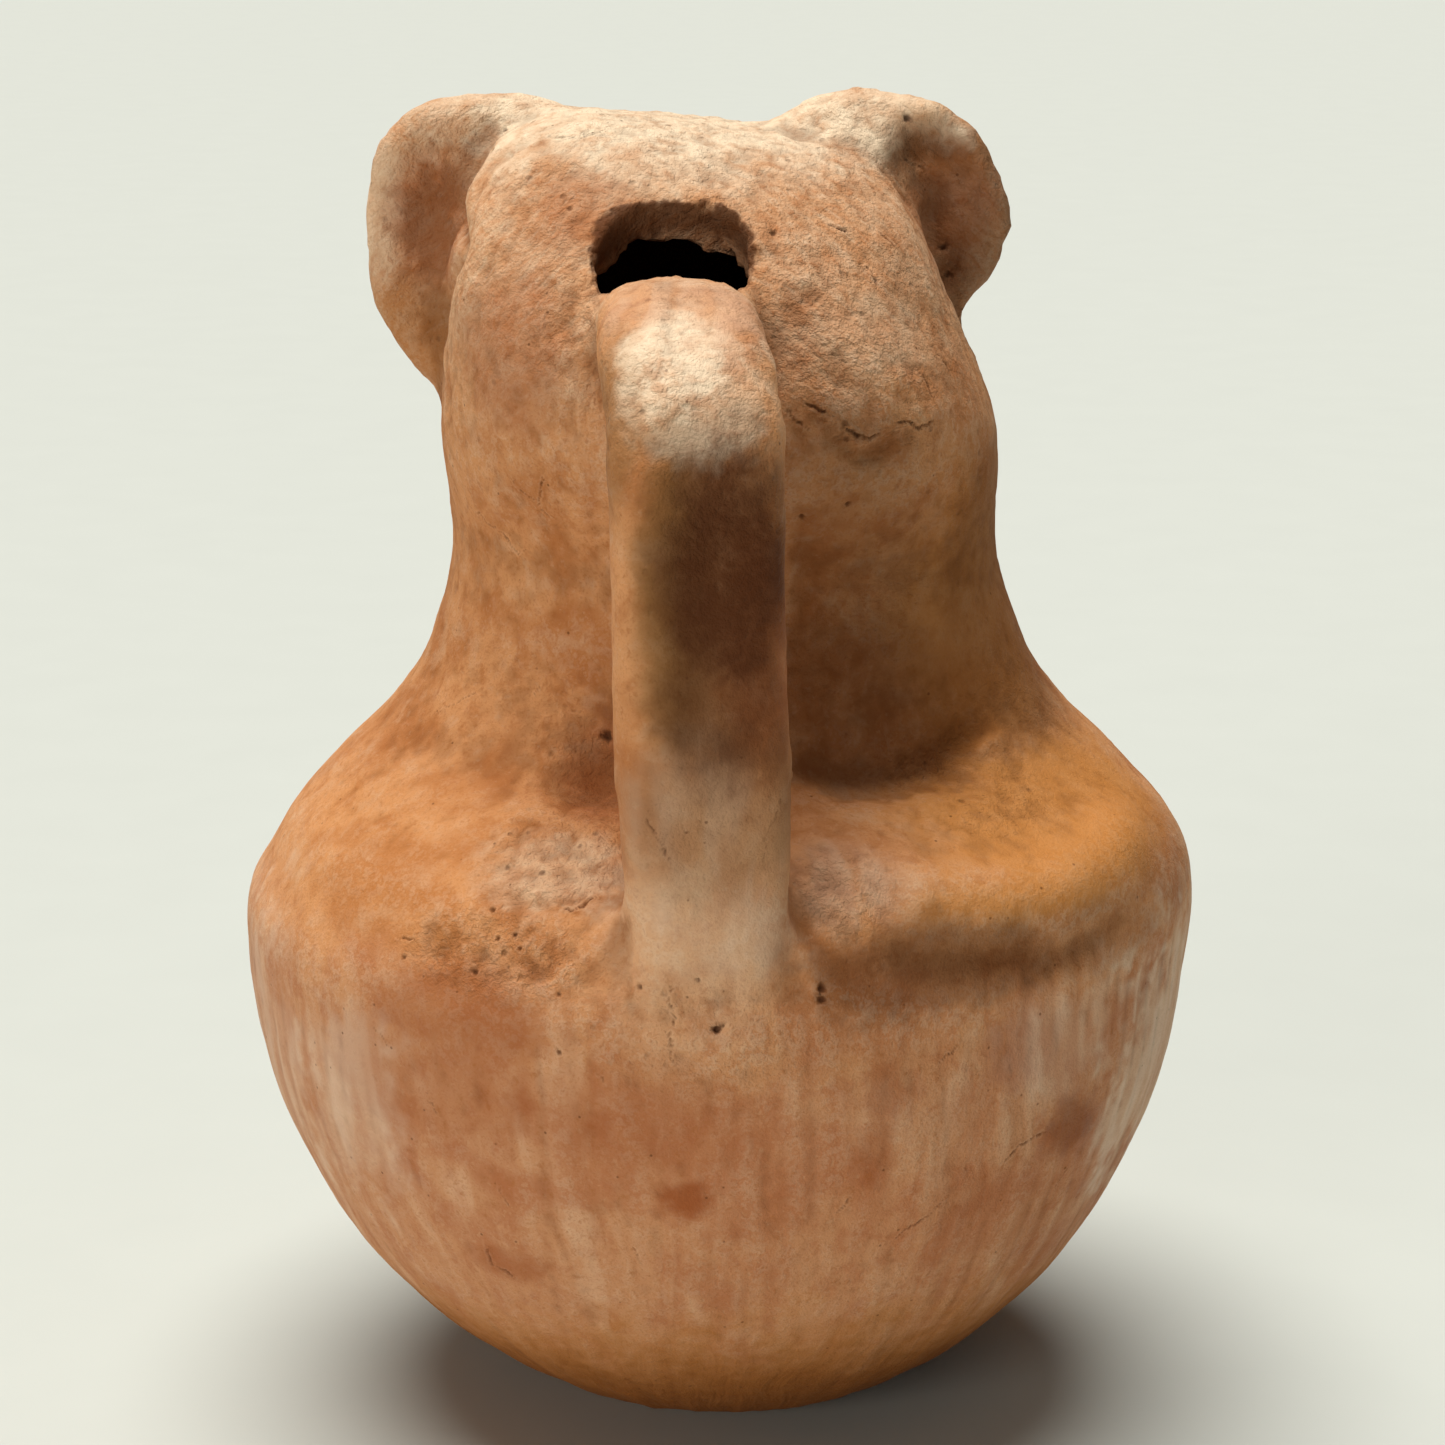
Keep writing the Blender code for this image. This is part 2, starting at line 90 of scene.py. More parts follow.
# Where the surface changes. A pair is the heights where a change starts and ends. The slip's and the
# sand's edges are about heights of their own, and wander. The handle stands out along -Y.
BELLY_RADIUS = 85 * MM
SLIP_TOP = 100 * MM
SLIP_EDGE = (-20 * MM, 14 * MM)
SLIP_WANDERS = 10 * MM
SAND_START = 206 * MM
SAND_EDGE = (-26 * MM, 20 * MM)
SAND_WANDERS = 14 * MM
BURNISH_ENDS = (0.098, 0.122)
NECK_ROUGHENS = (0.105, 0.140)
HEAD_ROUGHENS = (0.165, 0.215)
COMBING_STARTS = (0.175, 0.215)
HANDLE_STARTS = (118 * MM, 128 * MM)
HANDLE_STANDS_OUT = (56 * MM, 64 * MM)

# How the skin is meshed: the inner wall grows from a point just over the bowl's floor
INSIDE_SEED = Vector((0, 0, 8.5)) * MM
SKIN_SMOOTHING = 150
SMOOTH_IN = 0.63
SMOOTH_OUT = -0.67
CUT_SMOOTHING = 0.12
INSIDE_KEEP = 0.16
INSIDE_RELIEF = 0.25

# How the forms and marks are laid on the surface: from how far away it is looked at, the steps along
# a line, how far to each side forms and marks reach, and the half width below which a form is uneven
FAR_AWAY = 0.2
FORM_STEP = 1.0 * MM
FORM_REACH = 2.6
NARROW_FORM = 3.6
MARK_STEP = 0.4 * MM
MARK_REACH = 1.5 * MM
WANDER_SEED = 7
RIM_DOTS = 120
RIM_SEEN_FROM = 30 * MM

# What counts as a full cut, a sharp edge, and a broad hollow or bulge: for the dark of the cuts,
# the painted shade of the hollows, and the wear and painted highlight of the edges
FULL_CUT = 0.6 * MM
SHARP_EDGE = 0.06 * MM
BROAD_HOLLOW = 0.6 * MM
BROAD_BULGE = 0.7 * MM

# Roughness of bare clay, what burnish, handling and sand add to it, and how strongly clay shines
CLAY_ROUGHNESS = 0.86
BURNISH_ADDS = -0.22
HANDLING_ADDS = -0.20
SAND_ADDS = 0.3
CLAY_SHINE = 0.14

# The stage: each light's angle in degrees and the side it comes from, the camera and the floor
KEY_LIGHT = (48, (-0.10, 0.12, 0.98))
SIDE_LIGHT = (32, (-0.60, -0.79, 0.10))
LIGHT_COLOUR = (1.0, 0.97, 0.92)
ROOM_COLOUR = (1.0, 0.97, 0.94, 1)
CAMERA_SPOT = (0, -0.6777, 0.3053)
CAMERA_AIM = (0, 0, 0.130)
FLOOR_HALF_WIDTH = 20

# Broad forms that the hands pressed and pulled, as lines on the surface seen from the handle's side.
# Each is (half width, rise, points), in millimetres. A point is (x, z), or (x, z, y) where another
# part of the jar stands in front of it, so that the surface is looked for behind y.
FORM_LINES = {
    "shoulder_ridge": (
        7.5, 3.2, ((18, 125, -78), (25, 122), (35, 118), (47, 116), (57, 115), (67, 117), (77, 120)),
    ),
    "under_ridge": (
        6.5, -2.8, ((17, 115), (25, 111), (35, 107), (47, 105), (57, 104), (67, 106), (76, 109)),
    ),
    "second_ridge": (3.7, 0.7, ((40, 99), (52, 103), (64, 109), (74, 111))),
    "shoulder_crease": (4.5, -3.0, ((12, 135, -52), (22, 132), (32, 131), (41, 133), (49, 139))),
    "left_ear_rim": (
        3.4, 1.3, ((-46, 245), (-54, 245), (-60, 242), (-63, 236), (-65, 228), (-65, 218), (-61, 206)),
    ),
    "left_ear_valley": (
        3.8, -3.0, ((-36, 245), (-43, 242), (-46, 237), (-49, 230), (-48, 223), (-51, 213), (-54, 205)),
    ),
    "left_ear_fold": (1.4, -0.5, ((-33, 243), (-38, 240), (-42, 237), (-45, 231))),
    "left_cheek": (5.0, 1.2, ((-40, 234), (-42, 226), (-44, 216), (-47, 207))),
    "right_ear_rim": (
        2.4, 1.8, ((29, 247), (35, 246), (40, 245), (44, 242), (47, 238), (51, 229), (52, 220)),
    ),
    "right_ear_root": (5.5, 2.6, ((17, 244), (22, 242), (27, 240), (31, 236))),
    "right_ear_valley": (
        3.4, -2.7, ((33, 241), (36, 238), (39, 232), (40, 226), (41, 220), (43, 213), (44, 208)),
    ),
    "right_ear_cove": (2.4, -1.9, ((33, 240), (37, 242), (41, 240), (44, 237))),
    "right_cheek": (4.5, 1.0, ((28, 236), (32, 228), (35, 220), (39, 210))),
    "nape_flake": (
        3.4, 0.9, ((11, 203), (16, 201), (20, 198), (25, 196), (29, 198), (36, 196), (40, 197)),
    ),
    "under_nape_flake": (3.4, -1.0, ((12, 198), (18, 195), (25, 191), (31, 193), (38, 192))),
    "neck_comb_a": (0.9, 0.5, ((-27, 212), (-27, 204), (-28, 195))),
    "neck_comb_b": (0.9, 0.5, ((-24, 213), (-24, 204), (-25, 194))),
    "neck_comb_c": (0.8, 0.45, ((-22, 207), (-22, 201), (-22, 192))),
    "handle_edge": (
        1.8, 0.8,
        ((-12, 218, -75), (-11, 213, -88), (-10, 204, -91), (-10, 192), (-10, 175), (-9, 158), (-8, 143)),
    ),
    "handle_right_edge": (1.8, 0.5, ((11, 196), (11, 180), (11, 160), (11, 145))),
    "root_fan_left": (2.2, 0.8, ((-16, 124, -90), (-19, 116), (-24, 109), (-31, 104))),
    "root_fan_right": (2.2, 0.7, ((9, 124, -90), (12, 114), (17, 106), (26, 100))),
    "crust_lip": (1.6, 1.0, ((-38, 119), (-33, 118), (-27, 119), (-20, 121))),
    "neck_ledge": (1.4, 0.8, ((43, 132), (46, 133), (48, 134), (52, 135))),
}

# Dents and lumps, laid in the same way: (radius, rise, point)
FORM_SPOTS = {
    "pocket": (9.0, -2.4, (-22, 133, -60)),
    "left_ear_hollow": (9.5, -2.3, (-55, 226)),
    "right_ear_hollow": (6.5, -2.2, (42, 234)),
    "nape_bulge": (12.0, 1.7, (24, 206)),
    "nape_left_bulge": (11.0, 0.9, (-34, 206)),
    "handle_dent": (5.0, -0.7, (3, 150)),
    "handle_thumb": (6.0, -0.7, (2, 186)),
    "crown_dip": (11.0, -0.9, (10, 238)),
    "crown_lump": (8.0, 0.8, (-20, 240)),
}

# Drying cracks: (half width, depth, points)
CRACKS = {
    "neck_fork": (0.34, 0.7, ((-31, 187), (-33, 181), (-30, 178))),
    "neck_fork_arm": (0.28, 0.5, ((-33, 181), (-36, 183), (-38, 186))),
    "neck_long": (0.30, 0.5, ((-46, 177), (-41, 174), (-37, 170), (-35, 172))),
    "neck_short": (0.28, 0.5, ((-35, 143), (-34, 145), (-33, 146))),
    "neck_low_left": (0.26, 0.4, ((-53, 138), (-49, 141), (-45, 143))),
    "neck_tick": (0.28, 0.4, ((-30, 141, -60), (-29, 142, -60), (-25, 142, -60))),
    "shoulder_crack": (0.42, 0.7, ((-28, 116), (-24, 117), (-21, 119))),
    "handle_scratch": (0.30, 0.4, ((-13, 139), (-11, 135), (-9, 130))),
    "handle_right_scratch": (0.26, 0.3, ((10, 140), (8, 135), (7, 129))),
    "root_crack": (0.32, 0.6, ((-10, 110), (-8, 103), (-9, 98), (-8, 93))),
    "left_arc": (0.34, 0.5, ((-58, 107), (-56, 108), (-54, 108))),
    "nape_crack": (0.48, 0.9, ((11, 200), (12, 198), (15, 196))),
    "flake_edge_a": (0.50, 0.8, ((14, 201), (16, 200), (18, 198))),
    "flake_edge_b": (0.55, 0.9, ((20, 197), (23, 195), (25, 194), (28, 195))),
    "flake_edge_c": (0.45, 0.8, ((30, 196), (32, 196), (35, 195), (38, 195))),
    "nape_drag_a": (0.40, 0.5, ((38, 206), (40, 204), (41, 202))),
    "nape_drag_b": (0.36, 0.5, ((34, 204), (36, 202), (37, 200))),
    "crown_edge": (0.45, 0.7, ((18, 229), (21, 228), (23, 227))),
    "crown_drag_a": (0.40, 0.6, ((27, 228), (29, 226), (31, 224))),
    "crown_drag_b": (0.36, 0.6, ((25, 222), (27, 220), (28, 218))),
    "ear_drag": (0.40, 0.6, ((33, 238), (36, 236), (38, 234))),
    "right_crack": (0.36, 0.6, ((49, 67), (53, 70), (58, 71))),
    "right_low_crack": (0.30, 0.4, ((29, 54), (34, 58), (40, 62))),
    "left_low_crack": (0.40, 0.7, ((-43, 51), (-41, 47), (-37, 45))),
    "scratch_a": (0.30, 0.35, ((-62, 92), (-59, 88))),
    "scratch_b": (0.30, 0.35, ((-52, 80), (-49, 75))),
    "scratch_c": (0.30, 0.30, ((-40, 66), (-38, 61))),
    "scratch_d": (0.28, 0.30, ((-22, 92), (-19, 89))),
    "scratch_e": (0.30, 0.35, ((20, 62), (23, 66))),
    "scratch_f": (0.30, 0.35, ((36, 88), (41, 92))),
    "scratch_g": (0.30, 0.30, ((60, 56), (63, 61))),
    "scratch_h": (0.28, 0.30, ((-16, 56), (-14, 52))),
    "crown_right": (0.34, 0.5, ((22, 247), (26, 248), (29, 247))),
    "crown_left": (0.30, 0.5, ((-32, 243), (-26, 243), (-20, 244))),
}

# Pits where grit fell out: (radius, depth, point)
PITS = {
    "body_pit": (0.85, 1.3, (-1, 100)),
    "pocket_pit": (1.1, 1.1, (-21, 138, -62)),
    "right_pit_high": (1.1, 0.8, (17, 106)),
    "right_pit_low": (0.9, 0.7, (17, 104)),
    "small_pit_a": (0.55, 0.5, (-28, 94)),
    "small_pit_b": (0.60, 0.5, (-14, 107)),
    "small_pit_c": (0.55, 0.4, (-28, 104)),
    "small_pit_d": (0.50, 0.5, (-4, 109)),
    "shoulder_pit_a": (0.55, 0.4, (-56, 105)),
    "shoulder_pit_b": (0.65, 0.5, (-43, 105)),
    "shoulder_pit_c": (0.65, 0.5, (-40, 115)),
    "shoulder_pit_d": (0.60, 0.5, (-39, 111)),
    "shoulder_pit_e": (0.65, 0.6, (-36, 112)),
    "shoulder_pit_f": (0.50, 0.5, (-35, 110)),
    "neck_pit_a": (0.65, 0.5, (14, 180, -60)),
    "neck_pit_b": (0.60, 0.5, (22, 182)),
    "ear_pit_a": (0.85, 0.7, (41, 221)),
    "ear_pit_b": (0.75, 0.7, (42, 216)),
    "ear_spot": (0.95, 0.9, (34, 245)),
    "left_ear_pit_a": (0.7, 0.5, (-42, 240)),
    "left_ear_pit_b": (0.6, 0.5, (-40, 243)),
    "hole_pit_a": (0.7, 0.5, (9, 228)),
    "hole_pit_b": (0.6, 0.4, (-27, 232)),
}

# The plain face on the hidden side, pressed with a thumb and a twig: the same columns as above, and
# seen from the face's side
FACE_FORMS = {
    "left_eye_socket": (4.4, -0.9, ((-30, 224), (-25, 227), (-19, 225))),
    "right_eye_socket": (4.4, -0.9, ((18, 224), (13, 227), (7, 225))),
    "brow": (2.6, 0.9, ((-30, 230), (-20, 231), (-12, 229), (-1, 229), (8, 231), (18, 230))),
    "nose_bridge": (3.0, 1.1, ((-6.5, 226), (-6.5, 218), (-6, 210))),
    "muzzle_fold_left": (2.0, -0.8, ((-19, 209), (-22, 202), (-20, 195))),
    "muzzle_fold_right": (2.0, -0.8, ((7, 209), (10, 202), (8, 195))),
}
FACE_CRACKS = {
    "mouth": (0.85, 1.3, ((-17, 194), (-11, 192), (-6, 193), (-1, 192), (5, 194))),
    "lip_groove": (0.60, 0.8, ((-6, 201), (-6, 197), (-6, 193))),
}
FACE_PITS = {
    "left_pupil": (2.1, 1.4, (-24.0, 221)),
    "right_pupil": (2.1, 1.4, (11.5, 221)),
    "left_nostril": (1.2, 1.1, (-9.5, 203)),
    "right_nostril": (1.2, 1.1, (-2.5, 203)),
}

# Places where the surface is crusty or pocked: (strength, radii along x, y and z, point (x, z, y))
ROUGH_SPOTS = {
    "crust": (1.0, (15, 18, 8), (-29, 122, -64)),
    "left_shoulder": (1.0, (20, 18, 8), (-38, 109, -76)),
    "pocket": (0.7, (12, 16, 10), (-24, 135, -50)),
    "right_slope": (0.7, (18, 18, 11), (44, 130, -44)),
    "pink_grains": (0.8, (10, 14, 8), (20, 119, -74)),
    "nape": (0.8, (20, 18, 14), (24, 203, -46)),
    "left_of_handle": (0.9, (10, 16, 16), (-27, 210, -44)),
    "crown": (0.6, (40, 40, 14), (0, 243, 0)),
    "handle_bend": (0.5, (14, 22, 14), (0, 205, -88)),
    "body_middle": (0.4, (26, 24, 12), (-6, 98, -86)),
}

# Colour patches of the firing and of wear, and patches of painted shade, highlight, sheen and
# bounce glow: (tint, strength, raggedness, radii, point), as above
PATCHES = {
    # Cream on the handle's bend: paler clay, and a painted highlight where the bend faces the lamp
    "handle_bend": ("cream", 0.88, 0.5, (11, 18, 11), (-8, 214, -88)),
    "handle_bend_wide": ("cream", 0.40, 0.9, (15, 20, 14), (-1, 210, -90)),
    "handle_top": ("dust", 0.38, 0.6, (18, 18, 10), (-4, 219, -70)),
    "handle_strip": ("olive", 0.50, 0.3, (6, 16, 20), (-18, 205, -86)),
    "handle_olive": ("olive", 0.80, 0.25, (7.5, 14, 33), (-8, 176, -95)),
    # Dark brown on the handle's front: a dark stain, and painted shade of the face turned from the lamp
    "handle_dark": ("umber", 0.95, 0.25, (14, 18, 30), (2, 180, -96)),
    "handle_red": ("rust", 0.70, 0.3, (9, 16, 26), (8, 162, -94)),
    # The same dark stain and painted shade, lower on the handle
    "handle_dark_low": ("umber", 0.70, 0.3, (14, 14, 18), (2, 158, -96)),
    "handle_low": ("olive", 0.42, 0.4, (19, 18, 18), (0, 138, -92)),
    "root_pale": ("cream", 0.16, 0.5, (20, 16, 16), (-5, 112, -92)),
    "handle_khaki": ("dust", 0.45, 0.4, (20, 18, 24), (0, 130, -92)),
    # Painted shade in the corner between the handle's root and the neck
    "pocket_shade": ("rust", 0.65, 0.4, (10, 16, 12), (-21, 135, -50)),
    "crust": ("cream", 0.35, 0.9, (15, 14, 6), (-28, 120, -68)),
    # Painted shade on the neck right of the handle, below the head's overhang and beside the handle
    "neck_right_shade": ("umber", 0.40, 0.15, (34, 30, 40), (24, 158, -46)),
    "neck_right_root_shade": ("umber", 0.64, 0.12, (42, 38, 27), (20, 141, -48)),
    "neck_right_side_shade": ("umber", 0.55, 0.2, (22, 34, 38), (50, 156, -14)),
    "neck_right_ochre": ("ochre", 0.5, 0.3, (18, 30, 36), (46, 154, -24)),
    # Painted shade under the nape's bulge
    "under_nape": ("umber", 0.25, 0.5, (22, 18, 10), (24, 188, -48)),
    "left_shoulder_glow": ("ochre", 0.15, 0.4, (36, 36, 18), (-62, 118, -48)),
    "right_shoulder_ochre": ("ochre", 0.7, 0.5, (40, 40, 12), (62, 124, -40)),
    "ridge_ochre": ("ochre", 0.65, 0.4, (30, 20, 5), (54, 116, -62)),
    "pink_grains": ("dust", 0.35, 0.6, (14, 14, 8), (22, 121, -76)),
    "shoulder_red": ("rust", 0.55, 0.5, (26, 22, 9), (-42, 98, -72)),
    "shoulder_red_low": ("rust", 0.30, 0.5, (32, 26, 13), (-50, 84, -70)),
    # Painted shade under the right shoulder's roll, where the surface turns down from the lamp
    "under_ridge_shade": ("umber", 0.62, 0.5, (32, 30, 9), (38, 106, -76)),
    "under_ridge_shade_end": ("umber", 0.30, 0.5, (24, 26, 8), (62, 106, -56)),
    "middle_red": ("rust", 0.28, 0.7, (20, 16, 14), (-14, 82, -86)),
    "left_red_fleck": ("rust", 0.6, 0.8, (4, 10, 8), (-35, 82, -78)),
    "low_red_fleck": ("rust", 0.45, 0.9, (8, 12, 4), (-38, 48, -66)),
    "right_red_fleck": ("rust", 0.35, 0.9, (12, 12, 8), (44, 62, -74)),
    "left_pale_strokes": ("dust", 0.55, 0.9, (16, 24, 22), (-66, 74, -52)),
    "right_pale_strokes": ("dust", 0.45, 0.9, (16, 20, 10), (58, 88, -62)),
    "red_patch": ("rust", 0.95, 0.6, (5.5, 10, 4.5), (-6, 67, -86)),
    "dark_patch_right": ("umber", 0.25, 0.7, (5, 10, 6), (63, 70, -56)),
    "red_patch_right": ("rust", 0.6, 0.7, (7, 12, 7), (63, 70, -56)),
    "red_fleck_mid": ("rust", 0.55, 0.8, (4, 10, 5), (28, 85, -82)),
    "red_fleck_low": ("rust", 0.5, 0.8, (4, 10, 8), (27, 73, -80)),
    "red_fleck_right": ("rust", 0.45, 0.8, (5, 12, 8), (50, 88, -68)),
    "red_fleck_centre": ("rust", 0.6, 0.8, (4, 10, 6), (-21, 82, -85)),
    # Painted sheen of the burnish on the bowl's right side, where it turns away
    "right_edge": ("dust", 0.62, 1.2, (24, 50, 34), (88, 70, -30)),
    "right_rim_sheen": ("cream", 0.26, 1.2, (15, 28, 26), (83, 74, -34)),
    # Painted shade at the right end of the shoulder's roll
    "shoulder_edge": ("umber", 0.22, 0.4, (14, 26, 10), (82, 112, -26)),
    # Painted sheen of the burnish on the bowl's left side
    "left_edge_sheen": ("dust", 0.50, 1.0, (18, 46, 36), (-88, 70, -22)),
    # Painted glow of light bounced from the floor, and painted shade, towards the foot
    "foot_bounce_glow": ("ochre", 1.0, 0.3, (90, 90, 40), (0, 10, 0)),
    "foot_red_shade": ("rust", 0.50, 0.3, (92, 92, 36), (0, 6, 0)),
    "foot_shade": ("umber", 0.42, 0.3, (94, 94, 38), (0, 4, 0)),
    "left_ear_inside": ("rust", 0.6, 0.4, (9, 14, 14), (-54, 226, -2)),
    "right_ear_inside": ("rust", 0.5, 0.4, (9, 14, 16), (42, 228, -2)),
    "right_ear_shade": ("umber", 0.60, 0.4, (12, 12, 6), (38, 240, -2)),
    # Painted shade on the right ear's back plate, which faces away from the lamp
    "right_ear_plate_shade": ("umber", 0.55, 0.4, (12, 16, 24), (50, 225, 4)),
    "left_ear_lobe": ("umber", 0.20, 0.5, (12, 14, 14), (-58, 206, 0)),
    "nape_left_shade": ("rust", 0.40, 0.4, (13, 18, 15), (-38, 209, -40)),
    "right_ear_top": ("ochre", 0.40, 0.5, (14, 16, 9), (46, 243, 2)),
    "left_ear_low": ("ochre", 0.30, 0.5, (12, 14, 12), (-58, 206, 0)),
    "above_hole": ("cream", 0.55, 0.7, (24, 16, 10), (-8, 243, -30)),
    "hole_left": ("rust", 0.35, 0.6, (10, 12, 10), (-26, 234, -34)),
    "crown_pale": ("cream", 0.95, 0.7, (48, 36, 12), (-8, 247, -4)),
    "nape_pale": ("cream", 0.12, 0.8, (20, 14, 10), (28, 212, -42)),
    "ear_rim_right": ("cream", 0.55, 0.5, (16, 12, 3.5), (36, 249, -2)),
    "ear_rim_left": ("cream", 0.30, 0.6, (6, 14, 20), (-65, 230, 2)),
    "face_pale": ("cream", 0.4, 0.7, (26, 20, 26), (0, 214, 50)),
    "face_side_smoke": ("umber", 0.35, 0.6, (30, 26, 20), (30, 104, 74)),
    "back_red": ("rust", 0.35, 0.6, (34, 30, 16), (-36, 96, 72)),
}
TINTS = ("cream", "rust", "olive", "umber", "ochre", "dust")
ZONES = ("slip", "sand", "handle", "soot_and_shade", "cut", "fringe_shade", "rough", "carved", "hollow", "worn_and_highlit")


def smoothstep(low, high, values):
    """0 below low, 1 above high and a soft step between them."""
    share = np.clip((values - low) / (high - low), 0.0, 1.0)
    return share * share * (3 - 2 * share)


def noise_at(points, size, seed=0.0):
    """Smooth random values from about -1 to 1, which change over this length."""
    scaled = (points / size + seed * 17.31).tolist()
    return np.array([noise.noise(point) for point in scaled])


def fractal_at(points, size, octaves, seed=0.0):
    """Noise with finer noise on it."""
    scaled = (points / size + seed * 17.31).tolist()
    return np.array([noise.fractal(point, 0.6, 2.1, octaves) for point in scaled])


def shown_length(name, description, default, least, most):
    """A length that the sidebar shows."""
    return FloatProperty(
        name=name, description=description, default=default, min=least, max=most,
        unit="LENGTH", precision=5,
    )


def shown_colour(name, description, *default):
    """A colour that the sidebar shows."""
    return FloatVectorProperty(
        name=name, description=description, default=default, min=0, max=1, size=3, subtype="COLOR",
    )


class ClaySettings(PropertyGroup):
    """Sizes of the clay's mesh, grain and marks, and its colours."""

    skin_grid: shown_length(
        "Skin grid", "Width of a face on the outer skin", 1.6 * MM, 0.8 * MM, 4 * MM,
    )
    relief: shown_length(
        "Hand relief", "Height of the uneven surface that the hands left", 0.55 * MM, 0, 2 * MM,
    )
    crust: shown_length(
        "Crusty relief", "Height of the crust on the head and other rough places",
        0.95 * MM, 0, 2 * MM,
    )
    facets: shown_length(
        "Burnishing facets", "Height of the strokes' facets on the bowl", 0.22 * MM, 0, 1 * MM,
    )
    grain: shown_length(
        "Sand grain", "Width of the sand grains in the clay", 0.5 * MM, 0.1 * MM, 2 * MM,
    )
    stroke_width: shown_length(
        "Burnishing stroke", "Width of a stroke of the burnishing stone", 4.6 * MM, 1 * MM, 12 * MM,
    )
    clay: shown_colour("Clay", "Fired clay of the neck and shoulder", 0.60, 0.275, 0.110)
    clay_deep: shown_colour("Deep clay", "Deeper orange-brown mottling", 0.40, 0.135, 0.036)
    sand: shown_colour("Sandy head", "Paler sandy clay of the head", 0.60, 0.345, 0.19)
    slip: shown_colour("Pink slip", "Thin pinkish slip on the bowl", 0.55, 0.255, 0.120)
    slip_pale: shown_colour("Pale strokes", "Palest strokes of the slip", 0.68, 0.40, 0.235)
    slip_red: shown_colour("Red strokes", "Redder clay between the strokes", 0.42, 0.140, 0.052)
    # Cream is also painted highlight on the handle's bend and edges, and sheen on the bowl's right side
    cream: shown_colour("Cream", "Worn pale cream places", 0.86, 0.69, 0.49)
    # Rust is also painted shade beside the handle's root and at the foot
    rust: shown_colour("Rust", "Red-brown places", 0.33, 0.090, 0.024)
    # Umber is also painted shade on the neck, under the nape and shoulder roll, on ears, foot and hollows
    umber: shown_colour("Umber", "Dark brown places of handling and smoke", 0.075, 0.019, 0.0030)
    olive: shown_colour("Olive", "Dull khaki stain", 0.17, 0.075, 0.017)
    # Ochre is also the painted glow of the floor's bounce light on the foot
    ochre: shown_colour("Ochre", "Saturated orange-ochre places", 0.58, 0.235, 0.050)
    # Dust is also the painted sheen of the burnish along the bowl's sides
    dust: shown_colour("Dust", "Greyish pink dusty places", 0.74, 0.54, 0.39)
    # Also the painted shade of the inner wall
    soot_and_shade: shown_colour("Soot", "Dark of the cracks, the pits and the inner wall", 0.055, 0.018, 0.007)


class StageSettings(PropertyGroup):
    """The floor, the lights and the camera."""

    floor: shown_colour("Floor", "Colour of the pale floor", 0.57, 0.60, 0.56)
    key: FloatProperty(
        name="Key light", description="Strength of the soft light from above", default=4.1, min=0,
    )
    side: FloatProperty(
        name="Side light", description="Strength of the soft low light from the left",
        default=1.6, min=0,
    )
    sky: FloatProperty(
        name="Room light", description="Strength of the even light of the room", default=0.06,
        min=0,
    )
    lens: FloatProperty(
        name="Lens", description="Focal length for a 36 mm wide sensor", default=90.8, min=10,
        subtype="DISTANCE_CAMERA",
    )


def skin_arrays(mesh):
    """Points, edges and vertex normals of a mesh."""
    points = np.empty(len(mesh.vertices) * 3)
    mesh.vertices.foreach_get("co", points)
    edges = np.empty(len(mesh.edges) * 2, dtype=np.int64)
    mesh.edges.foreach_get("vertices", edges)
    normals = np.empty(len(mesh.vertices) * 3)
    mesh.vertex_normals.foreach_get("vector", normals)
    return points.reshape(-1, 3), edges.reshape(-1, 2), normals.reshape(-1, 3)


def set_points(mesh, points):
    """Moves the mesh's vertices to these points."""
    mesh.vertices.foreach_set("co", np.ascontiguousarray(points, dtype=np.float32).ravel())
    mesh.update()


def neighbour_mean(values, edges, count):
    """The mean of each vertex's neighbours."""
    degree = np.bincount(edges.ravel(), minlength=count)
    columns = []
    for column in values.reshape(count, -1).T:
        total = np.bincount(edges[:, 0], column[edges[:, 1]], count)
        total += np.bincount(edges[:, 1], column[edges[:, 0]], count)
        columns.append(total / np.maximum(degree, 1))
    return np.stack(columns, 1).reshape(values.shape)


def smoothed_skin(points, edges, weights, passes):
    """The points with their small unevenness smoothed away, but not their volume."""
    count = len(points)
    share = weights[:, None]
    for _ in range(passes):
        for factor in (SMOOTH_IN, SMOOTH_OUT):
            points = points + factor * share * (neighbour_mean(points, edges, count) - points)
    return points


def hole_frame(points):
    """The points in the hole's own axes: across, up its slope and out along its cut."""
    away = points - np.array(HOLE_CENTRE)
    turn = np.array(Matrix.Rotation(-HOLE_TILT, 3, "X"))
    return away @ turn.T


def hole_reach(local):
    """How far out from the middle of the hole a point is, as a share of the hole's edge."""
    across = np.abs(local[:, 0]) / HOLE_HALF_WIDTH
    up = np.abs(local[:, 1]) / HOLE_HALF_DEPTH
    return (across ** HOLE_CORNER + up ** HOLE_CORNER) ** (1 / HOLE_CORNER)


def hole_band(points, share):
    """Which points are on the cut wall of the hole, out to this share of its edge."""
    local = hole_frame(points)
    near = (local[:, 2] > -HOLE_WALL_BELOW) & (local[:, 2] < HOLE_WALL_ABOVE)
    return near & (hole_reach(local) < share)


def inside_points(points, edges, barrier):
    """Which points are on the inner wall: those that its floor reaches without crossing the barrier."""
    inside = np.zeros(len(points), dtype=bool)
    inside[np.linalg.norm(points - np.array(INSIDE_SEED), axis=1).argmin()] = True
    free = ~barrier
    while True:
        reached = inside[edges[:, 0]] | inside[edges[:, 1]]
        grown = inside.copy()
        grown[edges[reached].ravel()] = True
        grown &= free | inside
        if grown.sum() == inside.sum():
            return inside
        inside = grown


def put_in(name, data):
    """A new object with this data, in the scene."""
    made = bpy.data.objects.new(name, data)
    bpy.context.scene.collection.objects.link(made)
    return made


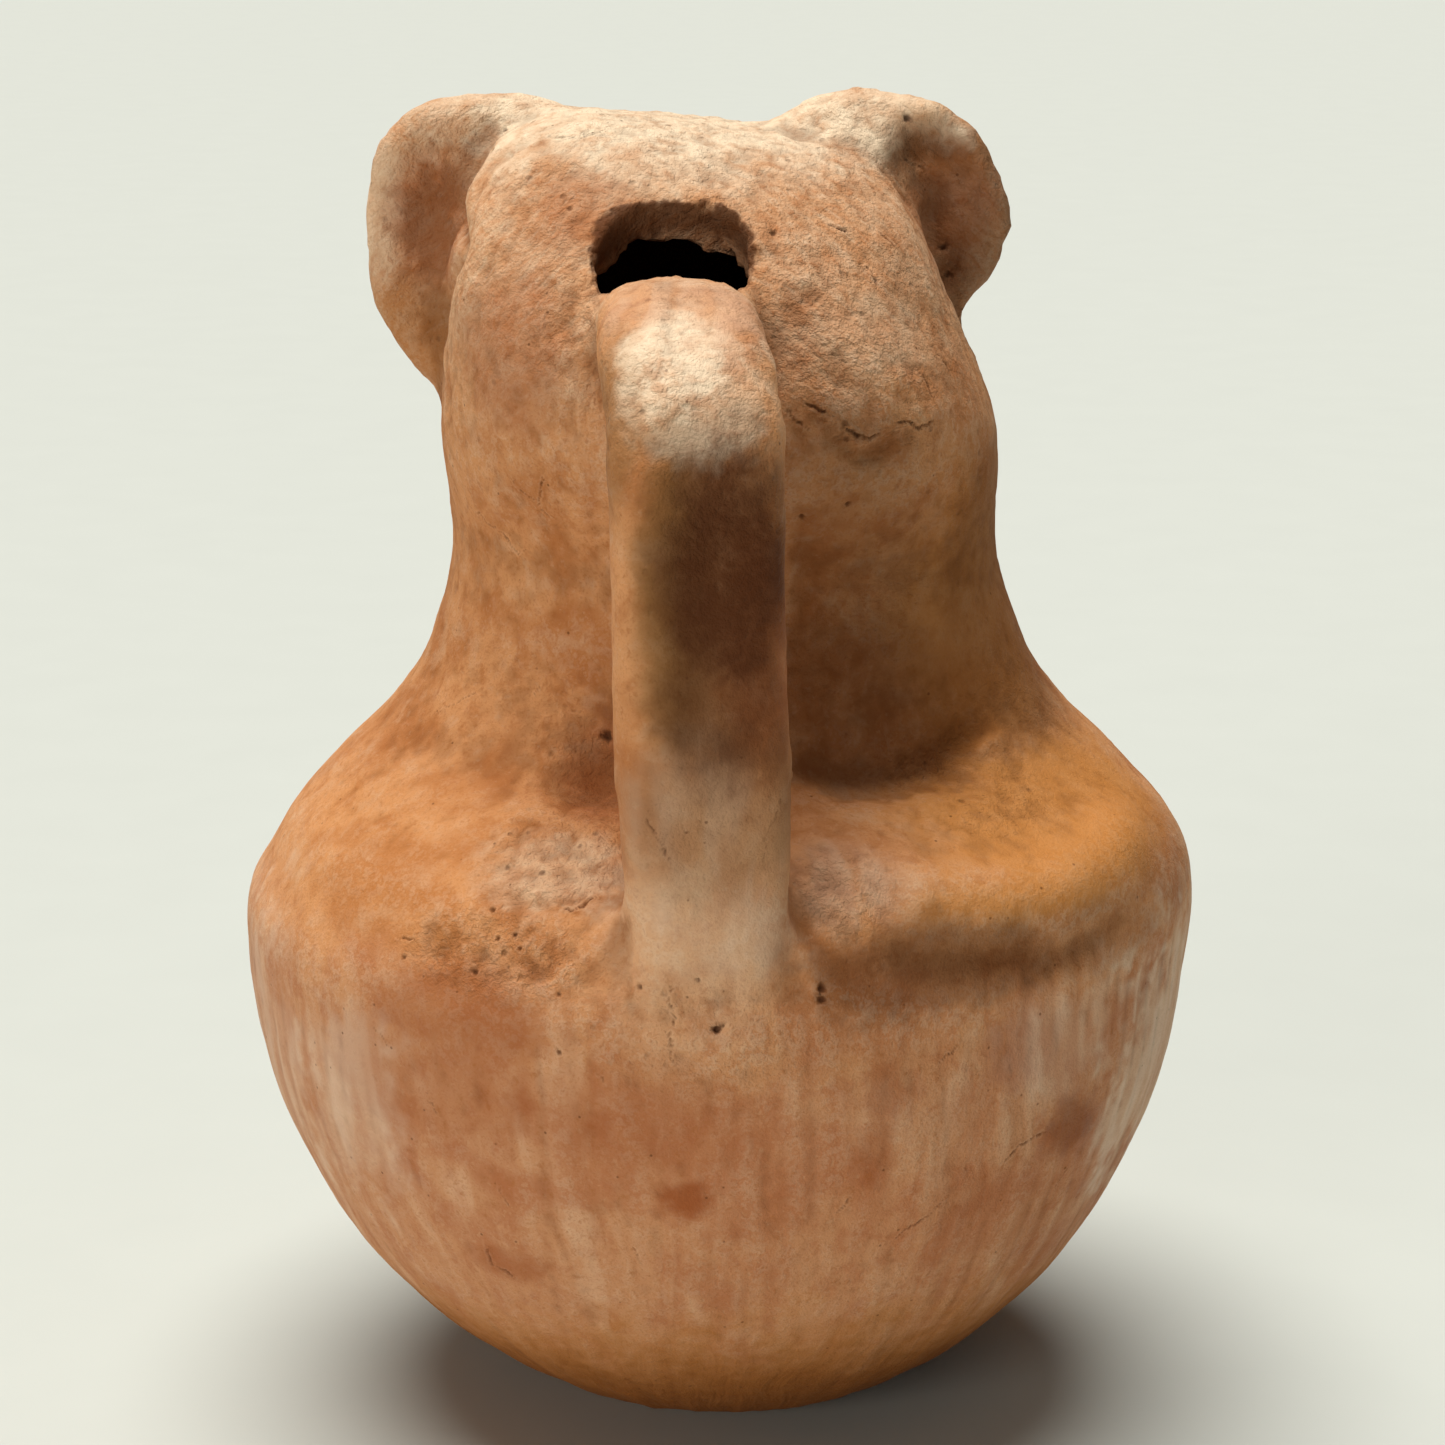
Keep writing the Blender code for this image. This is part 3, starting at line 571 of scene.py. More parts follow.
def base_skin(grid):
    """A fine, even and closed mesh over the jar's solid."""
    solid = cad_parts["effigy_jar"].data.copy()
    mesh = bmesh.new()
    mesh.from_mesh(solid)
    bmesh.ops.remove_doubles(mesh, verts=mesh.verts, dist=0.001 * MM)
    mesh.to_mesh(solid)
    mesh.free()
    piece = put_in("clay_jar", solid)
    remesh = piece.modifiers.new("even_skin", "REMESH")
    remesh.mode = "VOXEL"
    remesh.voxel_size = grid
    apply_modifiers(piece)
    return piece


def apply_modifiers(piece):
    """Makes the piece's evaluated shape its own mesh."""
    bpy.context.view_layer.update()
    graph = bpy.context.evaluated_depsgraph_get()
    made = bpy.data.meshes.new_from_object(piece.evaluated_get(graph))
    old = piece.data
    piece.modifiers.clear()
    piece.data = made
    bpy.data.meshes.remove(old)


def thin_inside(piece, inside):
    """Makes the inner wall's faces larger, since only the hole shows it."""
    group = piece.vertex_groups.new(name="inner_wall")
    group.add(np.nonzero(inside)[0].tolist(), 1.0, "REPLACE")
    share = inside.sum() / len(inside)
    thin = piece.modifiers.new("thin_inside", "DECIMATE")
    thin.vertex_group = group.name
    thin.ratio = 1 - share * (1 - INSIDE_KEEP)
    known = skin_arrays(piece.data)[0]
    apply_modifiers(piece)
    piece.vertex_groups.clear()
    nearest = nearest_of(known)
    values = [inside[nearest.find(vertex.co)[1]] for vertex in piece.data.vertices]
    set_mask(piece.data, "inside", values)


def nearest_of(dots):
    """A tree that finds the nearest of these points."""
    tree = kdtree.KDTree(len(dots))
    for i, dot in enumerate(dots):
        tree.insert(dot, i)
    tree.balance()
    return tree


def surface_tree(mesh):
    """A tree that finds where a line meets the mesh."""
    return BVHTree.FromPolygons(
        [vertex.co for vertex in mesh.vertices], [polygon.vertices[:] for polygon in mesh.polygons],
    )


def on_surface(tree, place, towards=1):
    """The point of the surface that shows at (x, z), seen along Y, behind y where one is given."""
    start = place[2] * MM if len(place) > 2 else -FAR_AWAY * towards
    origin = Vector((place[0] * MM, start, place[1] * MM))
    found, _, _, _ = tree.ray_cast(origin, Vector((0, towards, 0)))
    if found is None:
        raise RuntimeError(f"no clay at {place}")
    return found


def line_points(tree, places, step, towards):
    """Close points along a line on the surface."""
    ends = [on_surface(tree, place, towards) for place in places]
    dots = []
    for start, end in zip(ends, ends[1:]):
        count = max(2, int((end - start).length / step))
        for i in range(count):
            near, _, _, _ = tree.find_nearest(start.lerp(end, i / count))
            dots.append(near)
    dots.append(ends[-1])
    return dots


def distance_to(points, dots, reach):
    """Each point's distance to the nearest dot, and that dot's number; reach where none is near."""
    tree = nearest_of(dots)
    cloud = np.array(dots)
    low, high = cloud.min(0) - reach, cloud.max(0) + reach
    distances = np.full(len(points), reach)
    numbers = np.zeros(len(points), dtype=np.int64)
    for k in np.nonzero(((points > low) & (points < high)).all(1))[0]:
        _, number, distance = tree.find(points[k])
        if distance < reach:
            distances[k] = distance
            numbers[k] = number
    return distances, numbers


def end_share(numbers, dots):
    """How far from the nearer end of its line each point is, as a share of the line."""
    share = numbers / max(len(dots) - 1, 1)
    return np.minimum(share, 1 - share)


def press_forms(points, normals, tree, outside):
    """Moves the points along their normals for the ridges, creases, dents and lumps."""
    move = np.zeros(len(points))
    uneven = 1 + 0.7 * noise_at(points, 9 * MM, 17) + 0.5 * noise_at(points, 4 * MM, 18)
    for forms, towards in ((FORM_LINES, 1), (FACE_FORMS, -1)):
        for half_width, rise, places in forms.values():
            dots = line_points(tree, places, FORM_STEP, towards)
            reach = half_width * FORM_REACH * MM
            distances, numbers = distance_to(points, dots, reach)
            ends = np.clip(4 * end_share(numbers, dots) + 0.15, 0, 1)
            ends = ends * (uneven if half_width < NARROW_FORM else 1)
            fall = np.exp(-(distances / (half_width * MM)) ** 2) * (distances < reach)
            move += rise * MM * ends * fall
    for radius, rise, place in FORM_SPOTS.values():
        centre = np.array(on_surface(tree, place))
        distances = np.linalg.norm(points - centre, axis=1)
        move += rise * MM * np.exp(-(distances / (radius * MM)) ** 2)
    return points + normals * (move * outside)[:, None]


def spot_level(points, radii, place):
    """How far out a point is from a spot's middle, as a share of its radii."""
    x, z, y = place
    return np.linalg.norm((points - np.array((x, y, z)) * MM) / (np.array(radii) * MM), axis=1)


def roughness_at(points):
    """How crusty the surface is: much on the head, some on the neck and little on the bowl."""
    height = points[:, 2]
    rough = 0.12 + 0.18 * smoothstep(*NECK_ROUGHENS, height) + 0.45 * smoothstep(*HEAD_ROUGHENS, height)
    rough *= 0.75 + 0.5 * noise_at(points, 16 * MM, 21)
    for strength, radii, place in ROUGH_SPOTS.values():
        level = spot_level(points, radii, place)
        rough = np.maximum(rough, strength * (1 - smoothstep(0.5, 1.3, level)))
    return np.clip(rough, 0, 1)


def handle_share(points):
    """1 on the handle and 0 elsewhere."""
    return smoothstep(*HANDLE_STANDS_OUT, -points[:, 1]) * smoothstep(*HANDLE_STARTS, points[:, 2])


def stroke_places(points, squeeze):
    """Points along the jar's meridians, unrolled at the belly's radius and squeezed in height."""
    radii = np.maximum(np.linalg.norm(points[:, :2], axis=1), MM)
    flat = points[:, :2] / radii[:, None] * BELLY_RADIUS
    return np.column_stack((flat, points[:, 2] * squeeze))


def hand_relief(points, clay):
    """How far the hands, the crust and the burnishing stone moved each point of the surface."""
    rough = roughness_at(points)
    relief = 1.1 * noise_at(points, 34 * MM, 1) + 0.5 * noise_at(points, 13 * MM, 2)
    crust = 0.75 * fractal_at(points, 6.5 * MM, 3, 3) + 0.35 * noise_at(points, 2.6 * MM, 4)
    strokes = noise_at(stroke_places(points, 0.16), clay.stroke_width * 1.2, 11)
    bowl = 1 - smoothstep(*BURNISH_ENDS, points[:, 2])
    combed = noise_at(stroke_places(points, 0.35), 3.4 * MM, 12)
    crust += 0.55 * smoothstep(*COMBING_STARTS, points[:, 2]) * combed
    return clay.relief * relief + clay.crust * rough * crust + clay.facets * bowl * np.abs(strokes) * 2


def refine_near(piece, dots, reach, rounds):
    """Splits the faces near the dots, so that fine marks can be carved there."""
    tree = nearest_of(dots)
    mesh = bmesh.new()
    mesh.from_mesh(piece.data)
    for step in range(rounds):
        close = reach / (step + 1)
        edges = []
        for edge in mesh.edges:
            middle = (edge.verts[0].co + edge.verts[1].co) / 2
            if tree.find(middle)[2] < close:
                edges.append(edge)
        bmesh.ops.subdivide_edges(mesh, edges=edges, cuts=1, use_grid_fill=True)
    bmesh.ops.triangulate(mesh, faces=[face for face in mesh.faces if len(face.verts) > 4])
    mesh.to_mesh(piece.data)
    mesh.free()


def wandering(tree, dots, seed):
    """The line with small random bends, kept on the surface."""
    moved = []
    for i, dot in enumerate(dots):
        broad = noise.noise_vector((i * 0.11, seed * 7.7, 0.5)) * 0.9 * MM
        sway = broad + noise.noise_vector((i * 0.37, seed * 3.1, 2.5)) * 0.5 * MM
        near, _, _, _ = tree.find_nearest(dot + sway)
        moved.append(near)
    return moved


def crack_depth(points, lines, sizes):
    """How deep the cracks cut at each point, and how far the clay rises beside them."""
    depth = np.zeros(len(points))
    burr = np.zeros(len(points))
    for dots, (half_width, deep) in zip(lines, sizes):
        reach = max(4 * half_width, MARK_REACH)
        distances, numbers = distance_to(points, dots, reach)
        ends = np.sqrt(np.clip(end_share(numbers, dots) * 5, 0.12, 1))
        ends *= 0.75 + 0.5 * noise_at(points, 2.2 * MM, 13)
        near = distances < reach
        width = np.maximum(half_width * ends, 0.05 * MM)
        depth = np.maximum(depth, deep * ends * np.clip(1 - distances / width, 0, 1) * near)
        rise = 0.16 * deep * np.exp(-((distances - 1.7 * width) / width) ** 2) * near
        burr = np.maximum(burr, rise)
    return depth, burr


def pit_depth(points, dots, sizes):
    """How deep the pits go at each point."""
    depth = np.zeros(len(points))
    for dot, (radius, deep) in zip(dots, sizes):
        distances = np.linalg.norm(points - np.array(dot), axis=1)
        close = distances < 2 * radius
        ragged = 1 + 0.45 * noise_at(points[close], radius)
        bowl = np.clip(1 - (distances[close] / radius / ragged) ** 2, 0, 1)
        depth[close] = np.maximum(depth[close], deep * bowl)
    return depth


def rim_dots(tree):
    """Dots around the outer edge of the hole."""
    dots = []
    for k in range(RIM_DOTS):
        angle = 2 * math.pi * k / RIM_DOTS
        x, y = math.cos(angle), math.sin(angle)
        scale = (abs(x) ** HOLE_CORNER + abs(y) ** HOLE_CORNER) ** (-1 / HOLE_CORNER) * RIM_SHARE
        local = Vector((x * scale * HOLE_HALF_WIDTH, y * scale * HOLE_HALF_DEPTH, 0))
        start = HOLE_CENTRE + HOLE_TURN @ local + HOLE_OUT * RIM_SEEN_FROM
        found, _, _, _ = tree.ray_cast(start, -HOLE_OUT)
        if found is not None:
            dots.append(found)
    return dots


def thick_lip(points, inside):
    """Thickens the wall inwards at the hole's upper edge, where the photo shows a deep cut."""
    local = hole_frame(points)
    upper = smoothstep(0.1, 0.7, local[:, 1] / HOLE_HALF_DEPTH)
    near = 1 - smoothstep(1.3, 2.2, hole_reach(local))
    deep = smoothstep(0.0, LIP_START, -local[:, 2]) * (local[:, 2] > -THROAT_DEPTH)
    share = upper * near * deep * (inside | hole_band(points, CUT_SHARE))
    return points + np.array(-HOLE_OUT) * LIP_THICKENING * share[:, None]


def torn_rim(points, normals):
    """Tears the edge of the hole a little, as a tool through leather-hard clay does."""
    local = hole_frame(points)
    reach = hole_reach(local)
    near = (local[:, 2] > -TORN_BELOW) & (local[:, 2] < TORN_ABOVE)
    near = np.nonzero(near & (np.abs(reach - 1) < TORN_SHARE))[0]
    close = points[near]
    fade = 1 - smoothstep(0.05, 0.20, np.abs(reach[near] - 1))
    tear = 0.50 * MM * noise_at(close, 2.6 * MM, 5) + 0.30 * MM * noise_at(close, 1.1 * MM, 6)
    points = points.copy()
    points[near] += normals[near] * (tear * fade)[:, None]
    return points


def curvature(points, edges, normals, passes):
    """How far each point stands out of its neighbourhood, in metres; hollows are below 0."""
    mean = points
    for _ in range(passes):
        mean = neighbour_mean(mean, edges, len(points))
    return ((points - mean) * normals).sum(1)


def set_mask(mesh, name, values):
    """Keeps one value for each vertex under a name that the material reads."""
    layer = mesh.attributes.new(name, "FLOAT", "POINT")
    layer.data.foreach_set("value", np.ascontiguousarray(values, dtype=np.float32))


def kept_mask(mesh, name):
    """The values that the mesh keeps for its vertices under a name."""
    values = np.empty(len(mesh.vertices), dtype=np.float32)
    mesh.attributes[name].data.foreach_get("value", values)
    return values


def keep_tints(mesh, points, normals, warp):
    """Stores how much of each tint is at each vertex; painted shade and smoke stay off the faces that
    look up.
    """
    fine = noise_at(points, 1.8 * MM, 9)
    tints = {name: np.zeros(len(points)) for name in TINTS}
    for tint, strength, ragged, radii, place in PATCHES.values():
        level = spot_level(points, radii, place) + ragged * (0.8 * warp + 0.35 * fine)
        tints[tint] = np.maximum(tints[tint], strength * (1 - smoothstep(0.55, 1.2, level)))
    # The dark brown is partly painted shade, so the faces that look up to the lamp keep none of it
    tints["umber"] *= 1 - smoothstep(0.62, 0.90, normals[:, 2])
    for name, values in tints.items():
        set_mask(mesh, name, values)


def keep_masks(mesh, carved):
    """Stores the zones of the surface, the cracks, the hollows' painted shade and the edges' wear and
    highlight.
    """
    points, edges, normals = skin_arrays(mesh)
    warp = 0.6 * noise_at(points, 11 * MM, 7) + 0.4 * noise_at(points, 4 * MM, 8)
    keep_tints(mesh, points, normals, warp)
    height = points[:, 2]
    handle = handle_share(points)
    local = hole_frame(points)
    reach = hole_reach(local)
    inside = kept_mask(mesh, "inside") > 0.5
    cut = hole_band(points, CUT_SHARE) & ~inside
    bowl = 1 - smoothstep(*SLIP_EDGE, height - SLIP_TOP - SLIP_WANDERS * warp)
    bowl[inside | cut] = 0.0
    head = smoothstep(*SAND_EDGE, height - SAND_START - SAND_WANDERS * warp)
    # A band of painted shade along the ragged upper edge of the hole
    teeth = 1.06 + 0.10 * noise_at(points, 1.6 * MM, 15)
    upper = smoothstep(-0.5, 0.1, local[:, 1] / HOLE_HALF_DEPTH)
    near = (local[:, 2] > -FRINGE_DEPTH) & ~inside
    fringe_shade = np.where(near, (1 - smoothstep(-0.03, 0.03, reach - teeth)) * upper, 0.0)
    # The inner wall is painted dark as shade, less so just inside the hole, where light reaches
    throat = (1 - smoothstep(1.1, 1.6, reach)) * smoothstep(-THROAT_DEPTH, -LIT_DEPTH, local[:, 2])
    # Painted shade in the hollows; wear and painted highlight on the edges that stand out
    bend = curvature(points, edges, normals, 3) / SHARP_EDGE
    wide = curvature(points, edges, normals, 14)
    hollow = np.clip(-bend, 0, 1) * 0.5 + np.clip(-wide / BROAD_HOLLOW, 0, 1) * 0.5
    worn_and_highlit = np.clip(bend, 0, 1) * 0.4 + np.clip(wide / BROAD_BULGE, 0, 1) * 0.6
    zones = {
        "slip": bowl * (1 - handle),
        "sand": head * (1 - handle),
        "handle": handle,
        "soot_and_shade": inside * (1 - 0.7 * throat),
        "cut": cut,
        "fringe_shade": fringe_shade,
        "rough": roughness_at(points),
        "carved": np.clip(carved / FULL_CUT, 0, 1),
        "hollow": hollow,
        "worn_and_highlit": worn_and_highlit * smoothstep(1.1, 1.4, reach) * (1 - 0.9 * handle),
    }
    for name in ZONES:
        set_mask(mesh, name, zones[name])


class JAR_OT_clay_jar(Operator):
    """Models the jar's clay skin with its hand relief, cracks and pits, and gives it its material"""

    bl_idname = "effigy_jar.clay_jar"
    bl_label = "Model the clay jar"

    def execute(self, context):
        clay = context.scene.effigy_jar_clay
        piece = base_skin(clay.skin_grid)
        self.even_out(piece)
        self.shape(piece, clay)
        carved = self.carve(piece)
        piece.data.shade_smooth()
        keep_masks(piece.data, carved)
        piece.data.materials.clear()
        piece.data.materials.append(fired_clay(clay))
        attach(piece, "root")
        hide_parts("effigy_jar")
        return {"FINISHED"}

    def even_out(self, piece):
        """Smooths the solid's facets away, but keeps the cut of the hole."""
        points, edges, _ = skin_arrays(piece.data)
        weights = np.where(hole_band(points, SHARP_SHARE), CUT_SMOOTHING, 1.0)
        points = smoothed_skin(points, edges, weights, SKIN_SMOOTHING)
        set_points(piece.data, points)
        thin_inside(piece, inside_points(points, edges, hole_band(points, CUT_SHARE)))

    def shape(self, piece, clay):
        """Presses in the broad forms and the uneven relief, and deepens the hole's upper edge."""
        points, _, normals = skin_arrays(piece.data)
        inside = kept_mask(piece.data, "inside") > 0.5
        foot = smoothstep(0.5 * MM, 5 * MM, points[:, 2])
        outside = np.where(inside | hole_band(points, RIM_SHARE), 0.0, 1.0) * foot
        points = press_forms(points, normals, surface_tree(piece.data), outside)
        relief = hand_relief(points, clay) * (INSIDE_RELIEF + (1 - INSIDE_RELIEF) * outside) * foot
        points = thick_lip(points + normals * relief[:, None], inside)
        set_points(piece.data, points)

    def carve(self, piece):
        """Cuts the cracks and pits and tears the rim; returns how deep each point was cut."""
        tree = surface_tree(piece.data)
        lines, pits, line_sizes, pit_sizes = [], [], [], []
        noise.seed_set(WANDER_SEED)
        for cracks, spots, towards in ((CRACKS, PITS, 1), (FACE_CRACKS, FACE_PITS, -1)):
            for half_width, deep, places in cracks.values():
                dots = line_points(tree, places, MARK_STEP, towards)
                lines.append(wandering(tree, dots, len(lines)))
                line_sizes.append((half_width * MM, deep * MM))
            for radius, deep, place in spots.values():
                pits.append(on_surface(tree, place, towards))
                pit_sizes.append((radius * MM, deep * MM))
        dots = [dot for line in lines for dot in line] + pits + rim_dots(tree)
        refine_near(piece, dots, MARK_REACH * 1.3, 2)

        points, _, normals = skin_arrays(piece.data)
        depth, burr = crack_depth(points, lines, line_sizes)
        carved = np.maximum(depth, pit_depth(points, pits, pit_sizes))
        points = torn_rim(points - normals * (carved - burr)[:, None], normals)
        points[:, 2] = np.maximum(points[:, 2], 0.0)
        set_points(piece.data, points)
        return carved


def new_material(name):
    """A new material, with its nodes and its shader."""
    material = bpy.data.materials.new(name)
    material.use_nodes = True
    return material, material.node_tree, material.node_tree.nodes["Principled BSDF"]


def feed(tree, socket, value):
    """Links a socket to a node's output, or sets its value."""
    if isinstance(value, NodeSocket):
        tree.links.new(value, socket)
    elif value is not None:
        socket.default_value = value


def new_node(tree, kind, inputs=None, **settings):
    """A node with these settings, and with values or links for these inputs."""
    node = tree.nodes.new(kind)
    for name, value in settings.items():
        setattr(node, name, value)
    for key, value in (inputs or {}).items():
        feed(tree, node.inputs[key], value)
    return node


def mask(tree, name):
    """A value that the mesh keeps for each vertex."""
    return new_node(tree, "ShaderNodeAttribute", attribute_name=name).outputs["Fac"]


def calc(tree, operation, *values, clamp=False):
    """The result of a sum on one to three values."""
    inputs = dict(enumerate(values))
    return new_node(tree, "ShaderNodeMath", inputs, operation=operation, use_clamp=clamp).outputs[0]


def product(tree, first, *others):
    """The product of these values."""
    for other in others:
        first = calc(tree, "MULTIPLY", first, other)
    return first


def span(tree, value, low, high, to_low=0.0, to_high=1.0):
    """The value moved from one range to another, held at both ends, with soft ends."""
    inputs = {"Value": value, "From Min": low, "From Max": high, "To Min": to_low, "To Max": to_high}
    return new_node(
        tree, "ShaderNodeMapRange", inputs, interpolation_type="SMOOTHSTEP",
    ).outputs["Result"]


def tinted(tree, under, over, share):
    """One colour laid over another by a share."""
    colours = [value if isinstance(value, NodeSocket) else (*value, 1) for value in (under, over)]
    inputs = {0: share, 6: colours[0], 7: colours[1]}
    return new_node(tree, "ShaderNodeMix", inputs, data_type="RGBA", clamp_factor=True).outputs[2]


def grain_noise(tree, vector, size, detail=2.0, rough=0.5, warp=0.0, output="Fac"):
    """Noise that changes over this length, as a value or as a colour."""
    return new_node(tree, "ShaderNodeTexNoise", {
        "Vector": vector, "Scale": 1 / size, "Detail": detail, "Roughness": rough,
        "Distortion": warp,
    }).outputs[output]


def cells(tree, vector, size):
    """Random cells of this size: the distance to a cell's middle and its random tone."""
    node = new_node(tree, "ShaderNodeTexVoronoi", {"Vector": vector, "Scale": 1 / size})
    tone = new_node(tree, "ShaderNodeSeparateColor", {0: node.outputs["Color"]})
    return node.outputs["Distance"], tone.outputs[0]


def vector_calc(tree, operation, inputs):
    """The result of a sum on vectors."""
    return new_node(tree, "ShaderNodeVectorMath", inputs, operation=operation).outputs[0]


def joined(tree, x=None, y=None, z=None):
    """A vector of these numbers."""
    return new_node(tree, "ShaderNodeCombineXYZ", {"X": x, "Y": y, "Z": z}).outputs[0]


def split(tree, vector):
    """The three numbers of a vector."""
    return new_node(tree, "ShaderNodeSeparateXYZ", {0: vector}).outputs[:]


def meridian_places(tree, place, squeeze):
    """Places unrolled along the jar's meridians at the belly's radius, and squeezed in height."""
    x, y, z = split(tree, place)
    around = vector_calc(tree, "NORMALIZE", {0: joined(tree, x, y)})
    flat = vector_calc(tree, "SCALE", {0: around, "Scale": BELLY_RADIUS})
    up = joined(tree, z=product(tree, z, squeeze))
    return vector_calc(tree, "ADD", {0: flat, 1: up})


def wiped_places(tree, place, squeeze):
    """Places squeezed along the lines in which the head was wiped, down and out from its crown."""
    x, y, z = split(tree, place)
    side = calc(tree, "ABSOLUTE", x)
    across = product(tree, calc(tree, "ADD", side, z), SINE_OF_45)
    along = product(tree, calc(tree, "SUBTRACT", side, z), SINE_OF_45 * squeeze)
    return joined(tree, across, product(tree, y, 0.6), along)


def bent(tree, place, size, amount):
    """Places moved about by noise of this size."""
    colours = grain_noise(tree, place, size, output="Color")
    centred = vector_calc(tree, "ADD", {0: colours, 1: (-0.5, -0.5, -0.5)})
    sway = vector_calc(tree, "SCALE", {0: centred, "Scale": amount})
    return vector_calc(tree, "ADD", {0: place, 1: sway})


def clay_maps(tree, clay):
    """The masks and noises that the clay's colour, roughness and relief share."""
    place = new_node(tree, "ShaderNodeTexCoord").outputs["Object"]
    maps = {name: mask(tree, name) for name in TINTS + ZONES}
    swayed = bent(tree, place, 20 * MM, 8 * MM)
    strokes_at = meridian_places(tree, swayed, 0.20)
    maps["blotch"] = grain_noise(tree, place, 22 * MM, 2, 0.55, 0.6)
    maps["mottle"] = grain_noise(tree, place, 6 * MM, 3, 0.6, 0.4)
    maps["sandy"] = grain_noise(tree, place, 1.8 * MM, 3, 0.65)
    maps["fine"] = grain_noise(tree, place, clay.grain, 1, 0.6)
    maps["streaks"] = grain_noise(tree, strokes_at, clay.stroke_width, 1, 0.5)
    maps["thin_streaks"] = grain_noise(tree, strokes_at, clay.stroke_width * 0.4, 1, 0.55)
    maps["wiped"] = grain_noise(tree, wiped_places(tree, swayed, 0.16), 1.3 * MM, 2, 0.6)
    distance, tone = cells(tree, place, 3.1 * MM)
    some = span(tree, tone, 0.72, 0.86)
    maps["pocks"] = product(tree, span(tree, distance, 0.08, 0.26, 1, 0), some, maps["rough"])
    few = span(tree, tone, 0.20, 0.14)
    maps["grit"] = product(tree, span(tree, distance, 0.05, 0.12, 1, 0), few)
    return maps


def clay_colour(tree, clay, maps):
    """Mottled clay, sandy on the head, under streaky slip on the bowl, with the patches on top, some of
    which are painted shade, highlight and sheen.

    Each layer is a colour and how much of it lies over the layers before it.
    """
    slip, sand, sandy = maps["slip"], maps["sand"], maps["sandy"]
    blotch, mottle, wiped = maps["blotch"], maps["mottle"], maps["wiped"]
    streaks, thin = maps["streaks"], maps["thin_streaks"]
    patchy = span(tree, blotch, 0.56, 0.42, 0.15, 1.0)
    layers = [
        (clay.clay_deep, span(tree, blotch, 0.42, 0.66, 0, 0.70)),
        (clay.clay_deep, span(tree, mottle, 0.50, 0.68, 0, 0.55)),
        (clay.sand, span(tree, mottle, 0.30, 0.48, 0.45, 0.0)),
        (clay.sand, product(tree, sand, span(tree, mottle, 0.36, 0.64, 1.0, 0.45))),
        (clay.slip, product(tree, slip, 0.85)),
        (clay.slip_red, product(tree, slip, span(tree, blotch, 0.44, 0.66, 0, 0.65))),
        (clay.slip_red, product(tree, slip, span(tree, mottle, 0.50, 0.66, 0, 0.45))),
        (clay.slip_red, product(tree, slip, patchy, span(tree, streaks, 0.52, 0.32, 0, 0.50))),
        (clay.slip_pale, product(tree, slip, patchy, span(tree, streaks, 0.54, 0.72, 0, 0.50))),
        (clay.slip_red, product(tree, slip, span(tree, thin, 0.48, 0.32, 0, 0.12))),
        (clay.slip_pale, product(tree, slip, span(tree, thin, 0.56, 0.72, 0, 0.14))),
        # Wear and painted highlight on the edges that stand out
        (clay.cream, product(tree, maps["worn_and_highlit"], span(tree, sandy, 0.42, 0.62, 0.0, 0.28))),
        (clay.clay_deep, product(tree, sand, span(tree, wiped, 0.52, 0.70, 0, 0.38))),
        (clay.cream, product(tree, sand, span(tree, wiped, 0.46, 0.30, 0, 0.22))),
        (clay.clay_deep, span(tree, sandy, 0.54, 0.72, 0, 0.50)),
        (clay.sand, span(tree, sandy, 0.44, 0.28, 0, 0.35)),
        (clay.clay_deep, span(tree, maps["fine"], 0.52, 0.70, 0, 0.30)),
    ]
    speckle = calc(tree, "MULTIPLY_ADD", sandy, 0.45, product(tree, mottle, 0.55))
    worn_through = span(tree, speckle, 0.34, 0.56, 0.92, 1.0)
    # The dust also lays the painted sheen of the burnish along the bowl's sides
    dusty = span(tree, streaks, 0.38, 0.62, 0.45, 1.0)
    layers.append((clay.dust, product(tree, maps["dust"], worn_through, dusty)))
    # These layers also lay the patches' painted shade and painted glow of bounced light
    for name in ("ochre", "rust", "olive", "umber"):
        layers.append((getattr(clay, name), product(tree, maps[name], worn_through)))
    layers += [
        # The cream patches include a painted highlight on the handle's bend and painted sheen on the bowl
        (clay.cream, product(tree, maps["cream"], span(tree, speckle, 0.64, 0.42, 0.45, 1.0))),
        (clay.umber, product(tree, maps["pocks"], 0.60)),
        (clay.umber, product(tree, maps["grit"], 0.60)),
        # Painted shade in the hollows
        (clay.umber, product(tree, maps["hollow"], 0.40)),
        (clay.umber, product(tree, maps["cut"], 0.40)),
        # Painted shade along the hole's ragged upper edge
        (clay.umber, product(tree, maps["fringe_shade"], 0.75)),
        (clay.soot_and_shade, product(tree, maps["carved"], 0.70)),
        # Painted shade of the inner wall
        (clay.soot_and_shade, product(tree, maps["soot_and_shade"], 0.85)),
    ]
    colour = tuple(clay.clay)
    for tint, share in layers:
        colour = tinted(tree, colour, tuple(tint), share)
    return colour


def clay_height(tree, maps):
    """The fine relief, in millimetres: sand, crust, wiping marks, strokes and pocks."""
    parts = (
        (maps["sandy"], calc(tree, "MULTIPLY_ADD", maps["rough"], 1.30, 0.14)),
        (maps["fine"], calc(tree, "MULTIPLY_ADD", maps["rough"], 0.22, 0.10)),
        (maps["wiped"], product(tree, maps["sand"], 0.38)),
        (maps["streaks"], product(tree, maps["slip"], 0.35)),
        (maps["thin_streaks"], product(tree, maps["slip"], 0.18)),
        (maps["pocks"], -0.40),
    )
    height = product(tree, *parts[0])
    for part, amount in parts[1:]:
        height = calc(tree, "MULTIPLY_ADD", part, amount, height)
    return height


